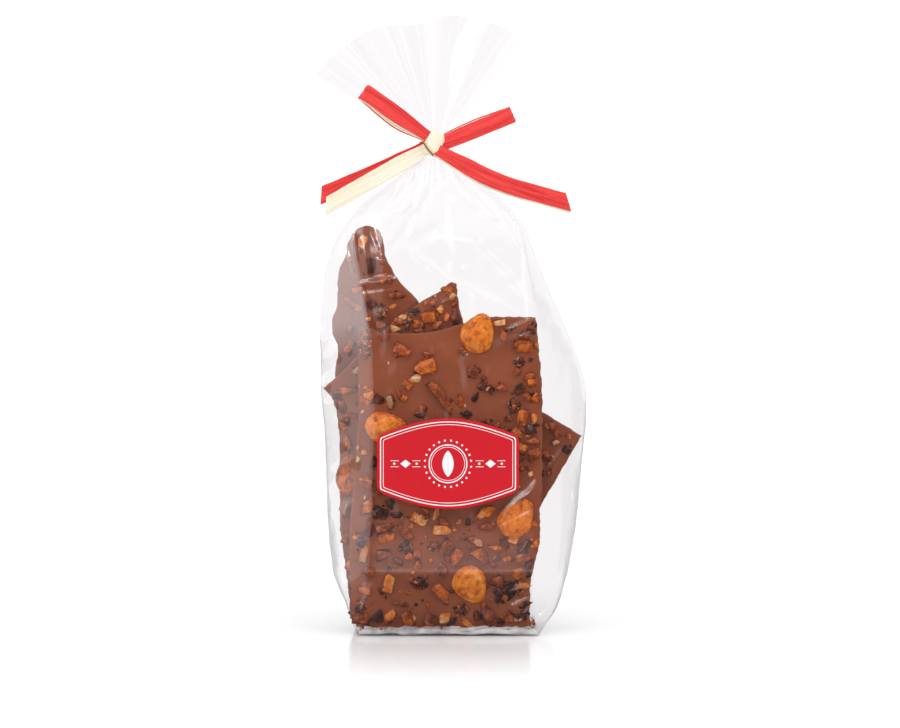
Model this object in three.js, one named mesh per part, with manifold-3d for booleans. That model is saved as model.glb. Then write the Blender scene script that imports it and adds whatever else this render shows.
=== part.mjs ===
// A clear gusseted sweet bag of milk chocolate almond bark, closed by a bow of red and cream paper ribbon.
// The bag is one closed solid out to its film: a flat block bottom, a body whose side gussets bulge,
// shoulders that gather into a round neck, and the open end of the film spread above it as a pleated fan.
// Units are millimetres, +Z is up, the front of the bag faces -Y, and the origin is the centre of the
// flat bottom.
import * as THREE from "three";
import { ParametricGeometry } from "three/addons/geometries/ParametricGeometry.js";
import { mergeVertices } from "three/addons/utils/BufferGeometryUtils.js";
import Module from "manifold-3d";

const wasm = await Module();
wasm.setup();

// ---- Driving dimensions ----
const NECK = { x: -7, z: 246.3, halfWidth: 3.4, halfDepth: 3.4 }; // where the ribbon gathers the film
const BLOCK = { half: 45.5, z: 32 }; // half the width of the block bottom, and the height of the fold it leaves
const GUSSET = { slant: 0.35, out: 0.77, back: 0.12 }; // its chamfer low down: shares of the round, width and depth
const FRONT_BULGE = 1.0;
const BACK_BULGE = 2.4;
const FAN = {
  midAngle: 99.5, // degrees from +X, seen from the front
  halfAngle: 50.5,
  radius: 65, // neck to mouth at the middle
  cornerExtra: 4, // the corners of the mouth reach further
  halfThickness: 3.6,
  pleats: 5.5,
  pleatDepth: 3.2,
  lipDip: 5, // the front lip of the mouth hangs lower than the back lip
  lipAngle: 99,
  lipSpread: 13,
};
const LABEL = { halfWidth: 35.4, halfHeight: 22.6, z: 86.5, roundness: 13.6, slope: 0.5, corner: 3, thick: 0.4 };
const RIBBON = { width: 8.2, pinched: 5.6, thick: 0.35 };
const KNOT = { width: 9.4, height: 13.4, depth: 6.4, tilt: 26, y: -8.4 };
const GAP = 0.3; // between pieces that touch

// Rows around the solid: front panel, right gusset, back panel, left gusset
const PANEL_STEPS = 28;
const GUSSET_STEPS = 6;
const BASE_ROWS = 2;
const BODY_ROWS = 34;
const FAN_ROWS = 13;
const LID_ROWS = 1;

// Silhouette of the filled bag: height, left edge, right edge, half depth, and the left and right crease where
// the flat front and back panels turn into the gussets
const SILHOUETTE = [
  [0, -BLOCK.half, BLOCK.half, 27, -BLOCK.half, BLOCK.half],
  [13, -51.3, 54.8, 28, -41.8, 44.8],
  [BLOCK.z, -58.3, 60.8, 27.6, -40, 44.5],
  [93, -62.6, 68.6, 24.5, -37.8, 44.5],
  [120, -63.8, 69.8, 23, -37.5, 44.3],
  [147, -64.9, 62.4, 21.2, -38.5, 43],
  [175, -63.3, 49.9, 18.4, -42.4, 41.6],
  [190, -59.8, 44.1, 16.6, -45, 39.6],
  [203, -53.4, 38.9, 14.5, -46.4, 36.6],
  [214.7, -44.6, 30.2, 11.6, -40, 26.6],
  [223, -35.3, 21.5, 9.4, -31.6, 18.6],
  [232, -22.5, 8.8, 7, -20.4, 7.2],
  [240, -12, -2, 4.6, -11.4, -2.6],
  [NECK.z, NECK.x - NECK.halfWidth, NECK.x + NECK.halfWidth, NECK.halfDepth, NECK.x - 3, NECK.x + 3],
];

const lerp = THREE.MathUtils.lerp;
const smooth = THREE.MathUtils.smoothstep;
const radians = THREE.MathUtils.degToRad;

// ---- Shape of the bag ----

// Column `k` of the silhouette at height z, as a cubic through the rows that never overshoots.
function silhouetteAt(z, k) {
  const rows = SILHOUETTE;
  const last = rows.length - 1;
  let i = 0;
  while (i < last - 1 && z > rows[i + 1][0]) i++;
  const slope = (j) => (rows[j + 1][k] - rows[j][k]) / (rows[j + 1][0] - rows[j][0]);
  const tangent = (j) => {
    if (j === 0) return slope(0);
    if (j === last) return slope(last - 1);
    const before = slope(j - 1);
    const after = slope(j);
    return before * after <= 0 ? 0 : (2 * before * after) / (before + after);
  };
  const span = rows[i + 1][0] - rows[i][0];
  const t = THREE.MathUtils.clamp((z - rows[i][0]) / span, 0, 1);
  const start = (1 + 2 * t) * (1 - t) * (1 - t) * rows[i][k] + t * (1 - t) * (1 - t) * span * tangent(i);
  const end = t * t * (3 - 2 * t) * rows[i + 1][k] + t * t * (t - 1) * span * tangent(i + 1);
  return start + end;
}

// Where a height's ring has its edges and creases.
function ringAt(z) {
  return {
    left: silhouetteAt(z, 1),
    right: silhouetteAt(z, 2),
    creaseLeft: silhouetteAt(z, 4),
    creaseRight: silhouetteAt(z, 5),
    halfDepth: silhouetteAt(z, 3),
    boxy: 1 - smooth(z, 20, 90), // how far the block bottom holds the gussets square
    full: smooth(z, 0, 25) * (1 - smooth(z, 205, NECK.z)), // how far the panels may bulge
  };
}

// u runs once round the bag, counter-clockwise seen from above. Gives the side and the share along it.
function sideAt(u) {
  const steps = [PANEL_STEPS, GUSSET_STEPS, PANEL_STEPS, GUSSET_STEPS];
  let at = u * steps.reduce((sum, n) => sum + n, 0);
  let side = 0;
  while (side < 3 && at > steps[side]) at -= steps[side++];
  return { side, share: at / steps[side] };
}

// The same places on a round ring: how far across and how far back each one is, from -1 to 1.
function roundAt(u) {
  const { side, share } = sideAt(u);
  const edge = radians(24);
  const turn = lerp(-edge, edge, share);
  const flat = Math.cos(edge);
  const across = [lerp(-flat, flat, share), Math.cos(turn), lerp(flat, -flat, share), -Math.cos(turn)][side];
  const round = Math.sqrt(Math.max(0, 1 - across * across));
  return { across, back: [-round, Math.sin(turn), round, -Math.sin(turn)][side] };
}

// How far out and how far back a gusset is at a share of the way round it. Higher up it is a sine to a power;
// where the block bottom holds it boxy it slants out to a corner and turns there into the side.
function gussetAt(share, boxy) {
  const toMiddle = 1 - Math.abs(2 * share - 1);
  const onSlant = Math.min(1, toMiddle / GUSSET.slant);
  const turned = (Math.max(0, toMiddle - GUSSET.slant) / (1 - GUSSET.slant)) * (Math.PI / 2);
  const out = GUSSET.out * onSlant + (1 - GUSSET.out) * Math.sin(turned);
  const back = (1 - GUSSET.back * onSlant - (1 - GUSSET.back) * (1 - Math.cos(turned))) * Math.sign(share - 0.5);
  return {
    out: lerp(Math.sin(Math.PI * share) ** 0.85, out, boxy),
    back: lerp(2 * share - 1, back, boxy),
  };
}

// The filled part of the bag: flat panels and rounded gussets, which turn into a round ring near the neck.
function bodyPoint(u, z, target) {
  const ring = ringAt(z);
  const { side, share } = sideAt(u);
  const swell = Math.sin(Math.PI * share);
  const bulge = ring.full * swell;
  if (side === 0) target.set(lerp(ring.creaseLeft, ring.creaseRight, share), -ring.halfDepth - FRONT_BULGE * bulge, z);
  const gusset = gussetAt(share, ring.boxy);
  if (side === 1) {
    target.set(lerp(ring.creaseRight, ring.right, gusset.out), ring.halfDepth * gusset.back, z);
  }
  if (side === 2) target.set(lerp(ring.creaseRight, ring.creaseLeft, share), ring.halfDepth + BACK_BULGE * bulge, z);
  if (side === 3) {
    target.set(lerp(ring.creaseLeft, ring.left, gusset.out), -ring.halfDepth * gusset.back, z);
  }
  const { across, back } = roundAt(u);
  const gathered = smooth(z, 200, NECK.z - 4);
  target.x = lerp(target.x, (ring.left + ring.right) / 2 + (across * (ring.right - ring.left)) / 2, gathered);
  target.y = lerp(target.y, back * ring.halfDepth, gathered);
  return target;
}

// The fan's rings are arcs about the neck: r is 0 at the neck and 1 at the mouth, and depth shrinks the ring
// to its middle surface, which closes the mouth.
function fanPoint(u, r, depth, target) {
  const { across, back } = roundAt(u);
  const degrees = FAN.midAngle - across * FAN.halfAngle;
  const angle = radians(degrees);
  const reach = FAN.radius + FAN.cornerExtra * across * across;
  const fromLip = (degrees - FAN.lipAngle) / FAN.lipSpread;
  const dip = FAN.lipDip * Math.exp(-fromLip * fromLip) * Math.max(0, -back) * depth * r ** 3;
  const radius = r * reach - dip;
  const phase = Math.PI * 2 * FAN.pleats * ((across + 1) / 2) ** 0.85;
  const pleat = FAN.pleatDepth * r * (1 - across ** 6) * Math.sin(phase);
  const thick = lerp(NECK.halfDepth, FAN.halfThickness, r) * back * depth;
  const x = NECK.x + across * NECK.halfWidth * (1 - r) + radius * Math.cos(angle);
  return target.set(x, thick + pleat, NECK.z + radius * Math.sin(angle));
}

function bagGeometry() {
  const rows = BASE_ROWS + BODY_ROWS + FAN_ROWS + LID_ROWS;
  const surface = (u, v, target) => {
    const row = v * rows;
    if (row <= BASE_ROWS) {
      bodyPoint(u, 0, target);
      return target.multiplyScalar(row / BASE_ROWS);
    }
    if (row <= BASE_ROWS + BODY_ROWS) return bodyPoint(u, (NECK.z * (row - BASE_ROWS)) / BODY_ROWS, target);
    const above = row - BASE_ROWS - BODY_ROWS;
    return fanPoint(u, Math.min(1, above / FAN_ROWS), above > FAN_ROWS ? 1 - (above - FAN_ROWS) : 1, target);
  };
  return new ParametricGeometry(surface, 2 * (PANEL_STEPS + GUSSET_STEPS), rows);
}

// ---- Label ----

// Half the label's height at a distance x from its middle: a hyperbola, round in the middle and nearly straight
// at the sides, that drops round a small corner at the end.
function labelHalfHeight(x) {
  const { halfWidth, halfHeight, roundness, slope, corner } = LABEL;
  const drop = Math.hypot(roundness, slope * x) - roundness;
  const intoCorner = Math.max(0, Math.abs(x) - (halfWidth - corner));
  return halfHeight - drop - (corner - Math.sqrt(Math.max(0, corner * corner - intoCorner * intoCorner)));
}

// The label lies on the front panel, a gap clear of it.
function labelGeometry() {
  const geometry = new THREE.BoxGeometry(2, 1, 2, 36, 1, 12);
  const at = geometry.attributes.position;
  const surface = new THREE.Vector3();
  for (let i = 0; i < at.count; i++) {
    const x = Math.sin((at.getX(i) * Math.PI) / 2) * LABEL.halfWidth; // closer columns near the corners
    const z = LABEL.z + at.getZ(i) * labelHalfHeight(x);
    const ring = ringAt(z);
    const share = (x - ring.creaseLeft) / (ring.creaseRight - ring.creaseLeft);
    bodyPoint((share * PANEL_STEPS) / (2 * (PANEL_STEPS + GUSSET_STEPS)), z, surface);
    const out = at.getY(i) < 0 ? GAP + LABEL.thick : GAP;
    at.setXYZ(i, x, surface.y - out, z);
  }
  return geometry;
}

// ---- Ribbon ----

// A flat strip along a curve: a box whose length follows the curve and whose width lies along `across`.
// `offset` moves it towards the side that the ribbon's inner face looks to, for the second layer, and `cut` is
// how far its end is cut slanting, as a share of its width.
function stripGeometry({ curve, across, widthAt, steps, offset = 0, cut = 0 }) {
  const geometry = new THREE.BoxGeometry(1, 1, 1, steps, 2, 1);
  const at = geometry.attributes.position;
  const normal = new THREE.Vector3();
  const point = new THREE.Vector3();
  for (let i = 0; i < at.count; i++) {
    const t = at.getX(i) + 0.5;
    const tangent = curve.getTangentAt(t);
    const width = across(t, tangent).normalize();
    normal.crossVectors(tangent, width).normalize();
    curve.getPointAt(t, point);
    point.addScaledVector(width, at.getY(i) * widthAt(t));
    point.addScaledVector(tangent, at.getY(i) * RIBBON.width * cut * smooth(t, 0.8, 1));
    point.addScaledVector(normal, at.getZ(i) * RIBBON.thick + offset);
    at.setXYZ(i, point.x, point.y, point.z);
  }
  return geometry;
}

const BACK = new THREE.Vector3(0, 1, 0);
const LAYER = RIBBON.thick + GAP; // from the middle of one layer to the middle of the next

// A loop of the bow, pressed flat: out along the front, round the fold and back behind, where it hangs
// `slip` to one side so that its inner face shows.
function loopCurve({ start, end, frontY, foldY, backY, rootY, slip }) {
  const along = new THREE.Vector3(end[0] - start[0], 0, end[1] - start[1]);
  const side = new THREE.Vector3().crossVectors(BACK, along).normalize();
  const place = (share, y, shift) =>
    new THREE.Vector3(start[0], y, start[1]).addScaledVector(along, share).addScaledVector(side, shift * slip);
  return new THREE.CatmullRomCurve3([
    place(0, rootY, 0),
    place(0.3, lerp(rootY, frontY, 0.75), 0),
    place(0.65, frontY, 0),
    place(0.97, foldY - 0.9, 0),
    place(1, foldY, 0.1),
    place(0.97, foldY + 0.9, 0.2),
    place(0.65, backY, 0.9),
    place(0.3, backY, 1),
    place(0, rootY + 2 * LAYER + GAP + 0.1, 0.2),
  ]);
}

const LOOPS = {
  left: { start: [-10.2, 249.8], end: [-42.2, 272.2], frontY: -13.5, foldY: -11, backY: -8.8, rootY: -10.2, slip: -2.2 },
  right: { start: [-4.6, 245.4], end: [32.2, 260.6], frontY: -13.2, foldY: -11, backY: -8.6, rootY: -9, slip: -1 },
};

function loopGeometry(loop, offset) {
  const side = new THREE.Vector3(loop.end[0] - loop.start[0], 0, loop.end[1] - loop.start[1]);
  side.crossVectors(BACK, side).normalize();
  const nearRoot = (t) => Math.min(t, 1 - t) * 4;
  return stripGeometry({
    curve: loopCurve(loop),
    across: () => side.clone(),
    widthAt: (t) => lerp(RIBBON.pinched, RIBBON.width, smooth(nearRoot(t), 0, 1)),
    steps: 40,
    offset,
  });
}

const TAILS = {
  left_cream: { turn: 0, cut: -0.58, points: [[-9, -8, 244.6], [-22, -10, 237], [-36, -12.4, 229], [-61.1, -12.6, 214.7]] },
  left_red: { turn: 6, cut: -0.52, points: [[-9, -7.2, 246], [-22, -8.4, 238.6], [-37, -10.2, 231.6], [-63.6, -10.6, 220.2]] },
  right_red: {
    turn: -10,
    cut: 0.6,
    points: [[-6, -10.8, 243.4], [8.3, -13, 235.4], [19.7, -13.4, 229.5], [31.2, -14, 225], [45.6, -13.4, 220.9], [60.4, -12.4, 216.8]],
  },
};

// A tail of the bow. Its flat side faces the front, turned a little about its own length.
function tailGeometry({ turn, cut, points }, offset = 0, slip = 0) {
  const curve = new THREE.CatmullRomCurve3(points.map(([x, y, z]) => new THREE.Vector3(x, y, z - slip)));
  const across = (t, tangent) =>
    new THREE.Vector3().crossVectors(BACK, tangent).applyAxisAngle(tangent, radians(turn * smooth(t, 0, 0.5)));
  const widthAt = (t) => lerp(RIBBON.pinched, RIBBON.width, smooth(t, 0, 0.3));
  return stripGeometry({ curve, across, widthAt, steps: 24, offset, cut });
}

// The cream band that wraps the crossing: a rounded block standing proud of the ribbons.
function knotGeometry(grow = 0) {
  const geometry = new THREE.SphereGeometry(1, 20, 14);
  const at = geometry.attributes.position;
  const rounded = (value, power) => Math.sign(value) * Math.abs(value) ** power;
  for (let i = 0; i < at.count; i++) {
    const x = rounded(at.getX(i), 0.55) * (KNOT.width / 2 + grow);
    const y = rounded(at.getY(i), 0.7) * (KNOT.height / 2 + grow);
    const z = rounded(at.getZ(i), 0.7) * (KNOT.depth / 2 + grow);
    at.setXYZ(i, x, y, z);
  }
  geometry.rotateX(Math.PI / 2);
  geometry.rotateY(radians(KNOT.tilt));
  return geometry.translate(NECK.x, KNOT.y, NECK.z);
}

// The ribbon's turn round the gathered neck: a band drawn in at its middle, as the film spreads above and below.
function neckBandGeometry() {
  const inner = Math.max(NECK.halfWidth, NECK.halfDepth) + 0.9;
  const half = 2;
  const flare = 2.6;
  const wall = 0.7;
  const profile = [
    [inner + flare, -half],
    [inner + flare + wall, -half],
    [inner + wall, 0],
    [inner + flare + wall, half],
    [inner + flare, half],
    [inner, 0],
    [inner + flare, -half],
  ].map(([r, y]) => new THREE.Vector2(r, y));
  const band = new THREE.LatheGeometry(profile, 32).rotateX(Math.PI / 2);
  return band.rotateY(radians(90 - FAN.midAngle)).translate(NECK.x, 0, NECK.z);
}

// ---- Booleans ----

function toManifold(geometry) {
  const bare = new THREE.BufferGeometry().setAttribute("position", geometry.attributes.position.clone());
  bare.setIndex(geometry.index.clone());
  const merged = mergeVertices(bare, 1e-3);
  const mesh = new wasm.Mesh({
    numProp: 3,
    vertProperties: merged.attributes.position.array,
    triVerts: new Uint32Array(merged.index.array),
  });
  return new wasm.Manifold(mesh);
}

function fromManifold(solid) {
  const mesh = solid.getMesh();
  const geometry = new THREE.BufferGeometry();
  geometry.setAttribute("position", new THREE.BufferAttribute(mesh.vertProperties, 3));
  geometry.setIndex(new THREE.BufferAttribute(mesh.triVerts, 1));
  geometry.computeVertexNormals();
  return geometry;
}

// What is left of a geometry outside the others, keeping its largest piece.
function cutClear(geometry, ...others) {
  let solid = toManifold(geometry);
  for (const other of others) solid = solid.subtract(toManifold(other));
  const pieces = solid.decompose().sort((a, b) => b.volume() - a.volume());
  return fromManifold(pieces[0]);
}

// ---- Materials and assembly ----

const clearFilm = new THREE.MeshStandardMaterial({
  color: 0xf2f0f1,
  roughness: 0.08,
  metalness: 0,
  transparent: true,
  opacity: 0.35,
});
const redPaper = new THREE.MeshStandardMaterial({ color: 0xe8413f, roughness: 0.75, metalness: 0 });
const creamPaper = new THREE.MeshStandardMaterial({ color: 0xf6e4c6, roughness: 0.75, metalness: 0 });
const redLabel = new THREE.MeshStandardMaterial({ color: 0xd22630, roughness: 0.4, metalness: 0 });

const bag = new THREE.Group();

function addPiece(name, geometry, material) {
  const mesh = new THREE.Mesh(geometry, material);
  mesh.name = name;
  bag.add(mesh);
}

const knotRoom = knotGeometry(GAP);
addPiece("film_bag", bagGeometry(), clearFilm);
addPiece("label", labelGeometry(), redLabel);
addPiece("knot_cream", knotGeometry(), creamPaper);
addPiece("neck_band_red", cutClear(neckBandGeometry(), knotRoom), redPaper);
for (const [side, loop] of Object.entries(LOOPS)) {
  addPiece(`loop_${side}_red`, cutClear(loopGeometry(loop, 0), knotRoom), redPaper);
  addPiece(`loop_${side}_cream`, cutClear(loopGeometry(loop, LAYER), knotRoom), creamPaper);
}
addPiece("tail_left_cream", cutClear(tailGeometry(TAILS.left_cream), knotRoom), creamPaper);
addPiece("tail_left_red", cutClear(tailGeometry(TAILS.left_red), knotRoom), redPaper);
addPiece("tail_right_red", cutClear(tailGeometry(TAILS.right_red), knotRoom), redPaper);
addPiece("tail_right_cream", cutClear(tailGeometry(TAILS.right_red, LAYER, 1), knotRoom), creamPaper);

export default bag;
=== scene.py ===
"""A clear gusseted bag of milk chocolate almond bark, closed by a bow of red and cream paper ribbon.

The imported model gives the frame: millimetres here are worked in its axes, +Z up, the front facing -Y, the
origin at the middle of the flat bottom. The solid bag is replaced by its film and by the slabs of bark
inside; the ribbon and the label are replaced by paper with its folds and print. Every surface is a function
of two parameters worked out on a grid with numpy.
"""

import math

import bmesh
import bpy
import numpy as np
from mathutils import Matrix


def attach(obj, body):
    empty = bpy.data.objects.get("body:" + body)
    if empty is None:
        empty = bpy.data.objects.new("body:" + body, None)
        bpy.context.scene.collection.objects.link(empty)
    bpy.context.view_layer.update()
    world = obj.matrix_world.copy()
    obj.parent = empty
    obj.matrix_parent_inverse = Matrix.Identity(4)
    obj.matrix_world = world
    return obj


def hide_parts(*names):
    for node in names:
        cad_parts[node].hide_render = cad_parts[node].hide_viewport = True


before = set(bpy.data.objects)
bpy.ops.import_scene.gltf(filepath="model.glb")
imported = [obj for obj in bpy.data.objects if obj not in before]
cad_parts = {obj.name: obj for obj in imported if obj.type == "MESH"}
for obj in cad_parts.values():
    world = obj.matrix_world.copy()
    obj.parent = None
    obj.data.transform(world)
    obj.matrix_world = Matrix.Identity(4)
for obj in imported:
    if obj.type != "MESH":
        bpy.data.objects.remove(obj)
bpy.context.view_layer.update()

MM = 0.001
BODY = "root"
NECK = np.array([-7.0, 0.0, 246.3])


# ---------------------------------------------------------------------------------------------- numbers

def through(stations, at):
    """A smooth curve through (place, value) stations: a cubic between each two, whose slope at a station is
    the harmonic mean of the slopes beside it, and 0 where they turn, so that it never overshoots."""
    x, y = np.asarray(stations, float).T
    step = np.diff(x)
    slope = np.diff(y) / step
    same_way = slope[:-1] * slope[1:] > 0
    total = np.where(same_way, slope[:-1] + slope[1:], 1.0)
    inner = np.where(same_way, 2 * slope[:-1] * slope[1:] / total, 0.0)
    tangent = np.concatenate([slope[:1], inner, slope[-1:]])
    at = np.clip(at, x[0], x[-1])
    i = np.clip(np.searchsorted(x, at, side="right") - 1, 0, len(x) - 2)
    h = step[i]
    t = (at - x[i]) / h
    start = (1 + 2 * t) * (1 - t) ** 2 * y[i] + t * (1 - t) ** 2 * h * tangent[i]
    end = t * t * (3 - 2 * t) * y[i + 1] + t * t * (t - 1) * h * tangent[i + 1]
    return start + end


def smooth(value, low, high):
    """0 below low, 1 above high, and the usual 3t^2 - 2t^3 step between them."""
    t = np.clip((value - low) / (high - low), 0, 1)
    return t * t * (3 - 2 * t)


def lerp(a, b, t):
    return a + (b - a) * t


def ripple(points, size, seed, octaves=3):
    """Smooth noise of about -1 to 1: sines along seeded directions, each octave half the size and
    strength."""
    dice = np.random.default_rng(seed)
    total = np.zeros(points.shape[:-1])
    for octave in range(octaves):
        waves = dice.normal(size=(7, points.shape[-1]))
        waves *= dice.uniform(0.7, 1.3, (7, 1)) / np.linalg.norm(waves, axis=1, keepdims=True)
        phase = dice.uniform(0, 2 * np.pi, 7)
        inner = points @ waves.T * (2 * np.pi * 2**octave / size) + phase
        total += np.sin(inner).sum(-1) * 0.5**octave / math.sqrt(7)
    return total * 0.8


def unit(vectors):
    return vectors / np.maximum(np.linalg.norm(vectors, axis=-1, keepdims=True), 1e-12)


def grid_normals(points, wrapped):
    """Unit normals of a (rows, columns, 3) grid: the cross product of the steps along a row and up a
    column."""
    if wrapped:
        along = np.roll(points, -1, axis=1) - np.roll(points, 1, axis=1)
    else:
        along = np.gradient(points, axis=1)
    return unit(np.cross(along, np.gradient(points, axis=0)))


def grid_faces(rows, columns, wrapped=False, start=0):
    """The quads of a grid of points stored row by row, numbered from start."""
    row = np.arange(rows - 1)[:, None]
    column = np.arange(columns if wrapped else columns - 1)[None, :]
    beside = (column + 1) % columns
    below, above = row * columns, (row + 1) * columns
    corners = [below + column, below + beside, above + beside, above + column]
    return np.stack(corners, -1).reshape(-1, 4) + start


# ---------------------------------------------------------------------------------------------- meshes

def put_piece(name, points, faces, material, marks=None, replaced=(), weld=True, by_corner=False):
    """A mesh object from points in millimetres and faces; points that stand twice at poles and seams are
    merged. A mark is a colour for each point, or by_corner for each corner of the faces, which then differ in
    size."""
    mesh = bpy.data.meshes.new(name)
    sides = faces if by_corner else np.asarray(faces).tolist()
    mesh.from_pydata((np.asarray(points, float) * MM).tolist(), [], sides)
    for mark, values in (marks or {}).items():
        layer = mesh.color_attributes.new(mark, "FLOAT_COLOR", "CORNER" if by_corner else "POINT")
        colours = np.ones((len(values), 4), np.float32)
        colours[:, : values.shape[-1]] = values
        layer.data.foreach_set("color", colours.ravel())
    if weld:
        shape = bmesh.new()
        shape.from_mesh(mesh)
        bmesh.ops.remove_doubles(shape, verts=shape.verts, dist=2e-6)
        bmesh.ops.dissolve_degenerate(shape, edges=shape.edges, dist=1e-7)
        shape.to_mesh(mesh)
        shape.free()
    mesh.polygons.foreach_set("use_smooth", np.ones(len(mesh.polygons), bool))
    mesh.materials.append(material)
    piece = bpy.data.objects.new(name, mesh)
    bpy.context.scene.collection.objects.link(piece)
    if replaced:
        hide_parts(*replaced)
    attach(piece, BODY)
    return piece


def face_outwards(piece):
    shape = bmesh.new()
    shape.from_mesh(piece.data)
    bmesh.ops.recalc_face_normals(shape, faces=shape.faces)
    shape.to_mesh(piece.data)
    shape.free()


# ---------------------------------------------------------------------------------------------- materials

def add(tree, kind, inputs=None, **settings):
    """A shader node with its settings; an input given as a socket is linked, and any other is set."""
    made = tree.nodes.new(kind)
    for setting, value in settings.items():
        setattr(made, setting, value)
    for key, value in (inputs or {}).items():
        if isinstance(value, bpy.types.NodeSocket):
            tree.links.new(value, made.inputs[key])
        else:
            made.inputs[key].default_value = value
    return made


def maths(tree, operation, *values, clamp=False):
    made = add(tree, "ShaderNodeMath", operation=operation, use_clamp=clamp, inputs=dict(enumerate(values)))
    return made.outputs[0]


def times(tree, a, b):
    return maths(tree, "MULTIPLY", a, b)


def plus(tree, a, b):
    return maths(tree, "ADD", a, b)


def minus(tree, a, b):
    return maths(tree, "SUBTRACT", a, b)


def length_of(tree, a, b):
    """Length of the flat vector (a, b)."""
    return maths(tree, "SQRT", plus(tree, times(tree, a, a), times(tree, b, b)))


def place_in_metres(tree):
    """Object coordinates as their x, y and z."""
    place = add(tree, "ShaderNodeTexCoord").outputs["Object"]
    return add(tree, "ShaderNodeSeparateXYZ", inputs={"Vector": place}).outputs


def piece_mark(tree):
    """The channels of the piece's own mark."""
    mark = add(tree, "ShaderNodeAttribute", attribute_name="mark").outputs["Color"]
    return add(tree, "ShaderNodeSeparateColor", inputs={"Color": mark}).outputs


def smooth_step(tree, value, low, high):
    return add(tree, "ShaderNodeMapRange", interpolation_type="SMOOTHSTEP", inputs={
        "Value": value, "From Min": low, "From Max": high}).outputs[0]


def ramp(tree, value, stops):
    """A colour ramp through (place, colour) stops."""
    made = add(tree, "ShaderNodeValToRGB", inputs={"Fac": value})
    elements = made.color_ramp.elements
    while len(elements) < len(stops):
        elements.new(0.5)
    for element, (place, colour) in zip(elements, stops):
        element.position = place
        element.color = (*colour, 1)
    return made.outputs["Color"]


def mix_colours(tree, factor, first, second):
    first, second = (colour if isinstance(colour, bpy.types.NodeSocket) else (*colour, 1)
                     for colour in (first, second))
    made = add(tree, "ShaderNodeMix", data_type="RGBA", inputs={0: factor, 6: first, 7: second})
    return made.outputs[2]


def new_material(name):
    material = bpy.data.materials.new(name)
    material.use_nodes = True
    material.node_tree.nodes.clear()
    return material, material.node_tree


def finish_material(tree, shader):
    add(tree, "ShaderNodeOutputMaterial", inputs={"Surface": shader})


def object_place(tree, scale=(1, 1, 1)):
    """Object coordinates in metres, scaled, so that a pattern can be stretched along an axis."""
    place = add(tree, "ShaderNodeTexCoord").outputs["Object"]
    return add(tree, "ShaderNodeMapping", inputs={"Vector": place, "Scale": scale}).outputs[0]


def noise(tree, place, scale, detail=3, roughness=0.55, distortion=0.0):
    made = add(tree, "ShaderNodeTexNoise", inputs={
        "Vector": place, "Scale": scale, "Detail": detail, "Roughness": roughness, "Distortion": distortion})
    return made.outputs["Fac"]


def bump(tree, height, strength, distance, normal=None):
    inputs = {"Height": height, "Strength": strength, "Distance": distance}
    if normal is not None:
        inputs["Normal"] = normal
    return add(tree, "ShaderNodeBump", inputs=inputs).outputs["Normal"]


def effect_group(name, inputs, outputs):
    """A node group of numbers, with inputs by name and default and outputs by name; returns it with its
    ends."""
    group = bpy.data.node_groups.new(name, "ShaderNodeTree")
    for title, default in inputs.items():
        socket = group.interface.new_socket(name=title, in_out="INPUT", socket_type="NodeSocketFloat")
        socket.default_value = default
    for title in outputs:
        group.interface.new_socket(name=title, in_out="OUTPUT", socket_type="NodeSocketFloat")
    return group, group.nodes.new("NodeGroupInput"), group.nodes.new("NodeGroupOutput")


def use_group(tree, group, inputs):
    return add(tree, "ShaderNodeGroup", node_tree=group, inputs=inputs)


def film_crinkle_group():
    """Fine crinkles of packing film: the creases of a noise stretched upwards over a broad soft waviness."""
    group, source, sink = effect_group("film_crinkle", {"Broad": 60.0, "Fine": 220.0}, ["Height"])
    place = object_place(group, scale=(1, 1, 0.45))
    broad = noise(group, place, source.outputs["Broad"], detail=2, roughness=0.5)
    fine = noise(group, place, source.outputs["Fine"], detail=0, roughness=0.5)
    height = plus(group, broad, times(group, maths(group, "ABSOLUTE", minus(group, fine, 0.5)), 0.02))
    group.links.new(height, sink.inputs["Height"])
    return group


def paper_fibre_group():
    """Paper string ribbon: fibres and fine pleats that run along the ribbon, from its own lengthwise UV."""
    group, source, sink = effect_group("paper_fibre", {"Along": 40.0, "Across": 900.0}, ["Height", "Shade"])
    place = add(group, "ShaderNodeUVMap").outputs["UV"]
    split = add(group, "ShaderNodeSeparateXYZ", inputs={"Vector": place})
    along = times(group, split.outputs["X"], source.outputs["Along"])
    across = times(group, split.outputs["Y"], source.outputs["Across"])
    stretched = add(group, "ShaderNodeCombineXYZ", inputs={"X": along, "Y": across}).outputs[0]
    fibre = noise(group, stretched, 1.0, detail=4, roughness=0.6)
    pleat = noise(group, stretched, 0.22, detail=2, roughness=0.5, distortion=0.4)
    height = plus(group, times(group, fibre, 0.45), pleat)
    shade = plus(group, times(group, fibre, 0.6), times(group, pleat, 0.4))
    group.links.new(height, sink.inputs["Height"])
    group.links.new(shade, sink.inputs["Shade"])
    return group


FILM_CRINKLE = film_crinkle_group()
PAPER_FIBRE = paper_fibre_group()


# A lens of painted highlight in the open end, a lighter tint standing in for a streak of reflected light: its
# angle to the neck's upright, and sizes in metres
HIGHLIGHT_LENS = {"turn": 0.262, "away": 0.047, "half_width": 0.0031, "half_length": 0.019}


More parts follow.
